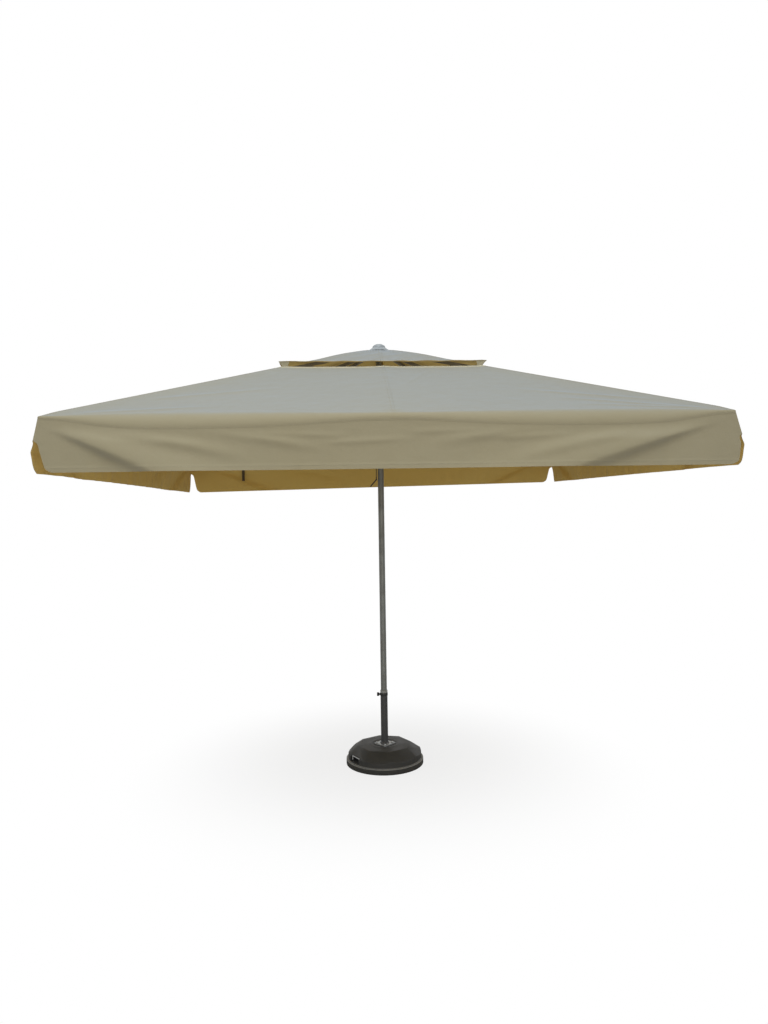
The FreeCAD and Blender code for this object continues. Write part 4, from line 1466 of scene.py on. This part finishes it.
class CanopyMaker:
    """Builds every cloth piece of the canopy and hangs it on the model's bodies."""

    def __init__(self, roof: Roof, cap: Cap, valance: Valance) -> None:
        """Keep the three sheets and make the stitch maker."""
        self.roof = roof
        self.cap = cap
        self.valance = valance
        self.web_size = VentWeb()
        self.stitches = StitchRows()

    def hang(self, panel: Panel, body: str, across: Sequence[float],
             node: str | None = None) -> bpy.types.Object:
        """Args:
            panel: The panel.
            body: The body it rides on.
            across: Not used.
            node: The CAD node that it stands for.

        Returns:
            The piece.
        """
        obj = panel.make(self.stitches)
        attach(obj, body)
        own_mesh(obj)
        if node:
            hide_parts(node)
        report(obj, body)
        return obj

    def seam_rows(self, sheet: CanopySheet, ring: float, hip: bool) -> list[tuple]:
        """Stitch rows beside a rib and round the hem.

        Args:
            sheet: The sheet, which says where the rows beside its ribs begin and end.
            ring: Distance of the row round the hem from the middle.
            hip: Whether the rib is a corner one.

        Returns:
            Radius and along arrays, one pair a row.
        """
        down = np.linspace(*sheet.seam, 90)
        width = ring * TAN_OCTANT
        if hip:
            beside = [(down, down - SEAM_ASIDE * ROOT_TWO)]
            round_hem = np.linspace(width, ring - 0.004, 60)
        else:
            beside = [(down, np.full_like(down, offset)) for offset in (-SEAM_ASIDE, SEAM_ASIDE)]
            round_hem = np.linspace(-width, width, 60)
        return [*beside, (np.full_like(round_hem, ring), round_hem)]

    def lip_row(self, hip: bool) -> tuple:
        """The stitch row along the middle of the roof's lip."""
        width = EDGE * TAN_OCTANT
        along = np.linspace(width if hip else -width, EDGE - 0.002 if hip else width, 120)
        return np.full_like(along, EDGE + LIP / 2.0), along

    def mid_strips(self, sheet: CanopySheet, kind: str, rows: Sequence[tuple],
                   stands: bool) -> None:
        """A sheet's four strips on the middle ribs.

        Args:
            sheet: The sheet.
            kind: What the sheet is called in its pieces' names.
            rows: The stitch rows of each strip.
            stands: Whether each stands for the CAD node of that kind on its rib.
        """
        for side in Side:
            panel = sheet.mid_panel(f"{kind}_cloth_{side.key}", side, rows)
            self.hang(panel, f"rib_{side.key}", side.along,
                      f"{kind}_{side.key}" if stands else None)

    def corner_strips(self, sheet: CanopySheet, kind: str, corner: Corner,
                      rows: Sequence[tuple], stands: bool) -> None:
        """The two halves of a sheet's strip on a corner rib.

        Args:
            sheet: The sheet.
            kind: What the sheet is called in its pieces' names.
            corner: The corner.
            rows: The stitch rows of each half.
            stands: Whether the first half stands for the CAD node of that kind on the rib.
        """
        for side, sign in corner.halves:
            panel = sheet.corner_panel(f"{kind}_cloth_{corner.key}_{side.key}", side, sign, rows)
            self.hang(panel, f"rib_{corner.key}", sheet.gather_way(side, sign),
                      f"{kind}_{corner.key}" if stands and sign > 0 else None)

    def build_roof(self) -> None:
        """The roof's strips."""
        roof = self.roof
        ring = roof.vent + roof.hem_seam
        rows = [[*self.seam_rows(roof, ring, hip), self.lip_row(hip)] for hip in (False, True)]
        self.mid_strips(roof, "roof", rows[0], True)
        for corner in Corner:
            self.corner_strips(roof, "roof", corner, rows[1], True)

    def build_cap(self) -> None:
        """The cap's strips, its crown and the webs that close the vent's corners."""
        cap = self.cap
        ring = cap.half - cap.hem_seam
        rows = [self.seam_rows(cap, ring, hip) for hip in (False, True)]
        self.mid_strips(cap, "cap", rows[0], False)
        for corner in Corner:
            self.corner_strips(cap, "cap", corner, rows[1], False)
            self.web(corner)
        self.crown()

    def crown(self) -> None:
        """The crown patch under the finial, which stands for the cap's CAD node."""
        cap = self.cap
        hole, lap, under = 0.008, 0.004, 0.0016
        turns = np.linspace(0.0, math.tau, 48, endpoint=False)
        reach = np.linspace(hole, cap.crown + lap, 6)
        square = np.maximum(np.abs(np.cos(turns)), np.abs(np.sin(turns)))
        x = reach[:, None] * np.cos(turns)[None, :] / square[None, :]
        y = reach[:, None] * np.sin(turns)[None, :] / square[None, :]
        out = np.maximum(np.abs(x), np.abs(y))
        height = cap.height(out, np.minimum(np.abs(x), np.abs(y))) - under
        outer = np.stack([x, y, height], -1)
        inner = outer - UP * cap.cloth
        obj = Panel("cap_crown", outer, inner, np.stack([x, y], -1), ring=True).make(None)
        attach(obj, "mast")
        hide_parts("vent_cap", "vent_webs")
        report(obj, "mast")

    def web(self, corner: Corner) -> None:
        """The two small webs of one corner of the vent, sewn between cap and roof."""
        web = self.web_size
        foot = self.roof.apex - self.roof.fall * (web.out - web.lean) + web.clear
        before, after = corner.sides
        share = np.linspace(0.0, 1.0, web.rows)[:, None]
        across = np.linspace(0.0, 1.0, web.columns)[None, :]
        plane = web.out - web.lean * share
        along = plane - across * (web.width - web.taper * share)
        up = web.top + (foot - web.top) * share + 0.0 * along
        bow = web.bow * np.sin(np.pi * share) * np.sin(np.pi * across)
        layers = []
        for depth in (0.0, web.cloth):
            out = plane - depth - bow
            first = world(before, out, np.minimum(along, out), up)
            second = world(after, out, -np.minimum(along, out), up)
            layers.append(np.concatenate([first[:, ::-1], second[:, 1:]], 1))
        spread = np.concatenate([along[:, ::-1], 2 * plane - along[:, 1:]], 1)
        tall = np.concatenate([up[:, ::-1], up[:, 1:]], 1)
        panel = Panel(f"vent_web_{corner.key}", layers[0], layers[1],
                      np.stack([spread, tall], -1), (HEM, INNER_PAINTED_GLOW))
        self.hang(panel, f"rib_{corner.key}", corner.across)

    def build_valance(self) -> None:
        """The valance's four middle strips and eight corner legs."""
        border = self.valance
        width = EDGE * TAN_OCTANT
        for side in Side:
            panel = border.panel(f"border_{side.key}", self.roof, side,
                                 lambda up: -width + 0.0 * up, lambda up: width + 0.0 * up, 156)
            self.hang(panel, f"hem_{side.key}", side.along,
                      f"valance_{side.key}")
        for corner in Corner:
            for side, sign in corner.halves:
                panel = border.panel(
                    f"border_{corner.key}_{side.key}", self.roof, side,
                    lambda up, s=sign: s * (width + 0.0 * up),
                    lambda up, s=sign: s * border.leg_end(up), 112,
                )
                anchor = side.out * EDGE + side.along * sign * EDGE
                self.hang(panel, f"hem_{corner.key}", side.along,
                          f"valance_{corner.key}" if sign > 0 else None)

    def build_strap(self) -> None:
        """The closing strap, a doubled tab of webbing inside the back border."""
        low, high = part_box("closing_strap")
        half, proud, wave, waves = 0.0008, 0.0002, 0.0006, 60.0
        x, z = np.meshgrid(np.linspace(low.x, high.x, 8), np.linspace(high.z, low.z, 20))
        mid = (low.y + high.y) / 2.0
        curl = wave * np.sin((z - low.z) * waves)
        outer, inner = (np.stack([x, np.full_like(x, mid + side * half) + curl, z], -1)
                        for side in (-1.0, 1.0))
        bar = np.linspace(low.x + 0.003, high.x - 0.003, 12)
        rows = []
        for at in (high.z - 0.006, high.z - 0.014):
            depth = mid - half - proud + wave * math.sin(waves * (at - low.z))
            rows.append(np.stack([bar, np.full_like(bar, depth), np.full_like(bar, at)], -1))
        panel = Panel("strap_tab", outer, inner, np.stack([x, z], -1), (WEBBING, WEBBING), rows)
        obj = self.hang(panel, "hem_back_left", (1.0, 0.0, 0.0),
                        "closing_strap")


@dataclass(frozen=True)
class RibPocket:
    """A cloth pocket round each rib's tip, sewn under the roof.

    A rib is given by the distances of its hinge and its tip from the pole's axis, and a loop of
    the pocket by its distance from the tip and how much larger than the pocket it is.
    """

    hinge_up: float = 2.587
    tip_up: float = 2.014
    half_wide: float = 0.0076
    half_over: float = 0.0104
    half_under: float = 0.0125
    squareness: float = 0.35
    sides: int = 20
    sharp: float = math.radians(50.0)
    mid_rib: tuple[float, float] = (0.050, 1.490)
    corner_rib: tuple[float, float] = (0.075, 2.110)
    loops: tuple[tuple[float, float], ...] = (
        (0.060, -0.0010), (0.105, -0.0010), (0.106, 0.0), (0.104, 0.0006), (0.080, 0.0),
        (0.045, 0.0), (0.015, 0.0), (0.004, -0.0006), (0.001, -0.0035),
    )

    def section(self, at: Vector, side: Vector, top: Vector, grow: float) -> list[Vector]:
        """Points of one rounded oblong loop.

        Args:
            at: The loop's middle.
            side: Level unit vector across the rib.
            top: Unit vector up from the rib.
            grow: How much larger than the rib's loop it is.

        Returns:
            The points, going round.
        """
        points = []
        for k in range(self.sides):
            angle = math.tau * (k + 0.5) / self.sides
            across, upward = (math.copysign(abs(part) ** self.squareness, part)
                              for part in (math.cos(angle), math.sin(angle)))
            tall = self.half_over if upward > 0 else self.half_under
            points.append(at + side * across * (self.half_wide + grow)
                          + top * upward * (tall + grow * 0.6))
        return points

    def build(self, place: Side | Corner, hinge: float, tip: float) -> None:
        """Make one pocket.

        Args:
            place: The rib's side or corner.
            hinge: Distance of the rib's hinge from the pole's axis.
            tip: Distance of its tip.
        """
        turn = math.radians(place.value)
        way = Vector((math.cos(turn), math.sin(turn), 0.0))
        side = Vector((-math.sin(turn), math.cos(turn), 0.0))
        axis = (way * (tip - hinge) + Vector((0, 0, self.tip_up - self.hinge_up))).normalized()
        top = side.cross(axis)
        if top.z < 0:
            top.negate()
        end = way * tip + Vector((0, 0, self.tip_up))
        shape = bmesh.new()
        rings = [[shape.verts.new(p) for p in self.section(end - axis * back, side, top, grow)]
                 for back, grow in self.loops]
        skin(shape, rings)
        bmesh.ops.recalc_face_normals(shape, faces=shape.faces)
        layer = shape.loops.layers.uv.new("weave")
        for face in shape.faces:
            for loop in face.loops:
                spot = loop.vert.co
                loop[layer].uv = (spot.dot(side) + spot.z, spot.dot(axis))
        mesh = bpy.data.meshes.new(f"rib_pocket_{place.key}")
        shape.to_mesh(mesh)
        shape.free()
        mesh.shade_smooth()
        mesh.set_sharp_from_angle(angle=self.sharp)
        obj = add_object(mesh.name, mesh)
        Workshop.dress(obj, HEM)
        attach(obj, f"rib_{place.key}")
        report(obj, f"rib_{place.key}")

    def build_all(self) -> None:
        """Make all eight."""
        for side in Side:
            self.build(side, *self.mid_rib)
        for corner in Corner:
            self.build(corner, *self.corner_rib)


@dataclass(frozen=True)
class LockCord:
    """The braided cord from the runner to its locking pin, with a whipping at each end."""

    at: tuple[float, float] = (-0.029, -0.014)
    top: float = 2.0908
    low: float = 1.7986
    radius: float = 0.0025
    turns: int = 5
    steps: int = 16
    whipping_tall: float = 0.008
    whipping_radius: float = 0.0031
    whipping_in: float = 0.006
    thread_radius: float = 0.0008

    def whipping(self, name: str, height: float) -> bpy.types.Object:
        """Turns of thread round the cord.

        Args:
            name: The piece's name.
            height: Height of the whipping's middle.

        Returns:
            The piece.
        """
        centre = Vector((*self.at, height))
        count = self.turns * self.steps
        path = []
        for k in range(count + 1):
            angle = math.tau * k / self.steps
            rise = Vector((0, 0, (k / count - 0.5) * self.whipping_tall))
            out = Vector((math.cos(angle), math.sin(angle), 0)) * self.whipping_radius
            path.append(centre + rise + out)
        obj = sweep(name, path, self.thread_radius, 6)
        Workshop.dress(obj, BRAID)
        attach(obj, "lock")
        report(obj, "lock")
        return obj

    def build(self) -> None:
        x, y = self.at
        route = [(x, y, self.top), (x + 0.0004, y, 2.035), (x - 0.0012, y + 0.0008, 1.955),
                 (x + 0.0010, y - 0.0006, 1.872), (x, y, self.low)]
        data = bpy.data.curves.new("lock_cord", "CURVE")
        data.dimensions = "3D"
        spline = data.splines.new("NURBS")
        spline.points.add(len(route) - 1)
        for point, at in zip(spline.points, route):
            point.co = (*at, 1.0)
        spline.order_u = 3
        spline.use_endpoint_u = True
        spline.resolution_u = 16
        data.bevel_depth = self.radius
        data.bevel_resolution = 3
        data.use_fill_caps = True
        obj = bpy.data.objects.new("lock_cord", data)
        bpy.context.scene.collection.objects.link(obj)
        data.materials.append(Workshop.material(BRAID))
        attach(obj, "lock")
        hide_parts("pin_cord")
        knots = [self.whipping("cord_whipping_top", self.top - self.whipping_in),
                 self.whipping("cord_whipping_low", self.low + self.whipping_in)]
        self.top - self.low
        report(obj, "lock")


@dataclass
class Studio:
    """Plain floor, soft lights and the camera."""

    camera_at: Vector = field(default_factory=lambda: Vector((-0.1885, -4.6508, 1.6382)))
    yaw: float = -0.0442
    pitch: float = -0.0107
    roll: float = -0.0147
    lens: float = 25.833
    shadow: tuple[float, float] = (0.3, 1.7)

    def camera(self) -> None:
        """Set the camera up."""
        ahead = Vector((-math.sin(self.yaw), math.cos(self.yaw), 0.0))
        right = Vector((math.cos(self.yaw), math.sin(self.yaw), 0.0))
        up = Vector((0.0, 0.0, 1.0))
        view = math.cos(self.pitch) * ahead + math.sin(self.pitch) * up
        top = -math.sin(self.pitch) * ahead + math.cos(self.pitch) * up
        turned_right = math.cos(self.roll) * right + math.sin(self.roll) * top
        turned_top = -math.sin(self.roll) * right + math.cos(self.roll) * top
        data = bpy.data.cameras.new("camera")
        data.lens = self.lens
        data.sensor_width = 36.0
        data.clip_end = 100.0
        obj = bpy.data.objects.new("camera", data)
        turn = Matrix((turned_right, turned_top, -view)).transposed().to_4x4()
        obj.matrix_world = Matrix.Translation(self.camera_at) @ turn
        bpy.context.scene.collection.objects.link(obj)
        bpy.context.scene.camera = obj

    def lamp(self, name: str, at: Vector, aim: Vector, size: float, power: float,
             colour: Colour) -> None:
        """Add one square soft lamp.

        Args:
            name: The lamp's name.
            at: Where it stands.
            aim: The point it faces.
            size: Its side.
            power: Its power in watts.
            colour: Its colour.
        """
        data = bpy.data.lights.new(name, "AREA")
        data.size = size
        data.energy = power
        data.color = colour
        obj = bpy.data.objects.new(name, data)
        obj.location = at
        obj.rotation_mode = "QUATERNION"
        obj.rotation_quaternion = (aim - at).to_track_quat("-Z", "Y")
        bpy.context.scene.collection.objects.link(obj)

    def floor(self) -> None:
        """A pale floor that fades into the white background and keeps the soft shadow."""
        shape = bmesh.new()
        bmesh.ops.create_grid(shape, x_segments=24, y_segments=24, size=18.0)
        mesh = bpy.data.meshes.new("floor")
        shape.to_mesh(mesh)
        shape.free()
        obj = add_object("floor", mesh)
        r = Recipe("floor_paper")
        x, y, _ = r.parts(r.place())
        away = ((x * x + y * y) ** 0.5).ramp(*self.shadow)
        fibre = r.noise(r.place(), 3.0, 3.0)
        ray = r.node("ShaderNodeLightPath")
        seen = Term(r, ray.outputs["Is Camera Ray"])
        pale = r.mix((0.8, 0.8, 0.8), (0.83, 0.83, 0.83), fibre)
        paper = r.mix((0.64, 0.62, 0.58), pale, seen)    # the light that it gives back is duller
        diffuse = r.node("ShaderNodeBsdfPrincipled", None,
                         {"Base Color": paper, "Roughness": 0.9, "Specular IOR Level": 0.1})
        white = r.node("ShaderNodeEmission", None, {"Color": (1.0, 1.0, 1.0), "Strength": 1.0})
        mixed = r.node("ShaderNodeMixShader", None, {
            0: seen * (away * 0.2 + 0.8), 1: diffuse.outputs[0], 2: white.outputs[0],
        })
        r.node("ShaderNodeOutputMaterial", None, {0: mixed.outputs[0]})
        Workshop.made["floor_paper"] = r.material
        obj.data.materials.append(r.material)

    def sky(self) -> None:
        """An even studio surround that the camera sees as white."""
        surround = bpy.data.worlds.new("surround")
        bpy.context.scene.world = surround
        surround.use_nodes = True
        tree = Tree(surround.node_tree)
        ray = tree.node("ShaderNodeLightPath").outputs
        mirrored = tree.node("ShaderNodeMath", {"operation": "MAXIMUM"},
                             {0: ray["Is Glossy Ray"], 1: ray["Is Transmission Ray"]})
        seen = tree.node("ShaderNodeMath", {"operation": "MAXIMUM"},
                         {0: ray["Is Camera Ray"], 1: mirrored.outputs[0]})
        soft = tree.node("ShaderNodeBackground", None, {0: (0.9, 0.95, 1.0), 1: 0.46})
        white = tree.node("ShaderNodeBackground", None, {0: (1.0, 1.0, 1.0), 1: 1.0})
        mixed = tree.node("ShaderNodeMixShader", None,
                          {0: seen.outputs[0], 1: soft.outputs[0], 2: white.outputs[0]})
        tree.node("ShaderNodeOutputWorld", None, {0: mixed.outputs[0]})

    def build(self) -> None:
        """Set up the camera, lamps, floor and surround."""
        self.camera()
        self.sky()
        self.floor()
        self.lamp("overhead", Vector((-0.7, -3.6, 6.5)), Vector((0, 0, 2.0)), 4.0, 288.0,
                  (0.9, 0.96, 1.0))
        self.lamp("front_fill", Vector((0.6, -6.5, 1.2)), Vector((0.3, 0, 1.9)), 3.0, 46.0,
                  (1.0, 0.96, 0.9))
        bpy.context.scene.view_settings.view_transform = "Standard"


RIBS = ("front", "right", "back", "left", "front_right", "back_right", "back_left", "front_left")
HARD_PARTS = (
    HardPart("base_shell", SHELL, "shell", 0.0018, 3),
    HardPart("ballast", CONCRETE, "concrete"),
    HardPart("base_underplate", PAD, "pad"),
    HardPart("base_feet", PAD, "pad", 0.0006),
    HardPart("grip_cups", CUP, "cup", 0.0005),
    HardPart("mounting_plate", ZINC, "galvanised", 0.0008),
    HardPart("plate_bolts", ZINC, "galvanised", 0.0005),
    HardPart("stem_tube", STEM, "stem"),
    HardPart("stem_collar", BLACK, "black_plastic", 0.0006),
    HardPart("bail_left", WIRE, "galvanised"),
    HardPart("bail_right", WIRE, "galvanised"),
    HardPart("clamp_knob", BLACK, "black_plastic", 0.0005),
    HardPart("clamp_screw", PIN, "pin"),
    HardPart("reducer_sleeve", SLEEVE, "sleeve", 0.0004),
    HardPart("pole_tube", POLE, "pole"),
    HardPart("pole_foot", BLACK, "black_plastic"),
    HardPart("hub", BLACK, "black_plastic", 0.0006),
    HardPart("hub_pins", PIN, "pin"),
    HardPart("finial_disc", FINIAL, "finial", 0.0006),
    HardPart("finial_dome", FINIAL, "finial", 0.0008),
    HardPart("runner", BLACK, "black_plastic", 0.0006),
    HardPart("runner_pins", PIN, "pin"),
    HardPart("lock_pin", LATCH, "pin"),
    *(HardPart(f"rib_{key}", RIB, "rib", 0.0007) for key in RIBS),
    *(HardPart(f"strut_{key}", RIB, "rib", 0.0006) for key in RIBS),
)
ROOF_CREASES = (
    (Side.FRONT, Crease((1.46, 1.50), (0.72, 1.20), 0.0035, 0.016)),
    (Side.FRONT, Crease((1.40, 1.47), (0.80, 1.34), 0.0030, 0.012)),
    (Side.FRONT, Crease((1.30, 1.34), (0.55, 1.02), 0.0030, 0.018)),
    (Side.FRONT, Crease((-1.44, 1.48), (-0.70, 1.33), 0.0030, 0.018)),
    (Side.FRONT, Crease((-1.20, 1.26), (-0.45, 0.96), 0.0025, 0.020)),
    (Side.FRONT, Crease((0.25, 0.62), (0.05, 1.05), 0.0016, 0.014)),
    (Side.RIGHT, Crease((-1.45, 1.49), (-0.75, 1.26), 0.0035, 0.016)),
    (Side.RIGHT, Crease((-1.10, 1.18), (-0.40, 0.95), 0.0025, 0.020)),
    (Side.RIGHT, Crease((1.43, 1.47), (0.82, 1.35), 0.0032, 0.015)),
    (Side.BACK, Crease((-1.45, 1.48), (-0.70, 1.30), 0.0032, 0.018)),
    (Side.BACK, Crease((1.40, 1.46), (0.66, 1.16), 0.0034, 0.017)),
    (Side.LEFT, Crease((-1.42, 1.47), (-0.80, 1.33), 0.0032, 0.016)),
    (Side.LEFT, Crease((1.44, 1.48), (0.70, 1.22), 0.0034, 0.018)),
    (Side.LEFT, Crease((1.05, 1.15), (0.42, 0.90), 0.0024, 0.020)),
)
BORDER_CREASES = (
    (Side.FRONT, Crease((-1.50, 0.022), (-1.05, 0.215), 0.027, 0.034, True)),
    (Side.FRONT, Crease((1.50, 0.015), (0.84, 0.212), 0.027, 0.034, True)),
    (Side.FRONT, Crease((-1.36, 0.020), (-0.58, 0.190), 0.0090, 0.026)),
    (Side.FRONT, Crease((-1.00, 0.015), (-0.22, 0.165), 0.0060, 0.022)),
    (Side.FRONT, Crease((1.18, 0.050), (0.42, 0.215), 0.0080, 0.026)),
    (Side.FRONT, Crease((0.80, 0.025), (0.10, 0.140), 0.0055, 0.022)),
    (Side.FRONT, Crease((-0.66, 0.070), (-0.16, 0.095), 0.0034, 0.012)),
    (Side.FRONT, Crease((-0.34, 0.125), (0.12, 0.105), 0.0030, 0.012)),
    (Side.FRONT, Crease((0.02, 0.080), (0.48, 0.062), 0.0034, 0.013)),
    (Side.FRONT, Crease((0.40, 0.112), (0.84, 0.085), 0.0034, 0.014)),
    (Side.RIGHT, Crease((-1.49, 0.0), (-0.92, 0.220), 0.024, 0.036, True)),
    (Side.RIGHT, Crease((1.49, 0.0), (0.98, 0.220), 0.022, 0.034, True)),
    (Side.RIGHT, Crease((-1.10, 0.040), (-0.35, 0.200), 0.0070, 0.026)),
    (Side.BACK, Crease((-1.49, 0.0), (-0.98, 0.220), 0.020, 0.034, True)),
    (Side.BACK, Crease((1.49, 0.0), (0.86, 0.210), 0.022, 0.036, True)),
    (Side.BACK, Crease((0.90, 0.035), (0.15, 0.180), 0.0060, 0.024)),
    (Side.LEFT, Crease((-1.49, 0.0), (-0.88, 0.215), 0.022, 0.036, True)),
    (Side.LEFT, Crease((1.49, 0.0), (1.00, 0.220), 0.020, 0.034, True)),
    (Side.LEFT, Crease((-0.95, 0.040), (-0.20, 0.190), 0.0060, 0.024)),
)
KICKS = (
    Kick(Corner.FRONT_LEFT, (0.021, 0.042, 0.036, 0.026), (0.004, 0.006, 0.006, 0.004),
         (0.004, 0.004, 0.002, 0.0), (0.021, 0.021, 0.017, 0.014)),
    Kick(Corner.FRONT_RIGHT, (0.003, 0.004, 0.002, 0.0), (0.026, 0.050, 0.056, 0.062),
         (0.026, 0.050, 0.044, 0.036), (0.003, 0.004, 0.004, 0.002)),
    Kick(Corner.BACK_RIGHT, (0.010, 0.014, 0.012, 0.008), (0.008, 0.010, 0.008, 0.006),
         (0.008, 0.012, 0.014, 0.014), (0.010, 0.012, 0.012, 0.010)),
    Kick(Corner.BACK_LEFT, (0.008, 0.014, 0.016, 0.014), (0.012, 0.014, 0.014, 0.010),
         (0.012, 0.010, 0.008, 0.006), (0.008, 0.010, 0.012, 0.010)),
)
DROOPS = ((Corner.BACK_LEFT, 0.034), (Corner.BACK_RIGHT, -0.015))
RIPPLES = ((Side.FRONT, 0.0015), (Side.RIGHT, 0.005), (Side.BACK, 0.003), (Side.LEFT, 0.006))


def main() -> None:
    """Build the umbrella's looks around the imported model."""
    logging.basicConfig(level=logging.INFO, format="%(name)s: %(message)s")
    Studio().build()
    LockCord().build()
    home = {node: body for body, nodes in frame["record"]["behaviour"]["bodies"].items()
            for node in nodes}
    for part in HARD_PARTS:
        part.dress(home[part.node])
    border = Valance(creases=BORDER_CREASES, ripples=RIPPLES, kicks=KICKS, droops=DROOPS)
    canopy = CanopyMaker(Roof(creases=ROOF_CREASES), Cap(), border)
    canopy.build_roof()
    canopy.build_cap()
    canopy.build_valance()
    canopy.build_strap()
    RibPocket().build_all()


if __name__ == "__main__":
    main()
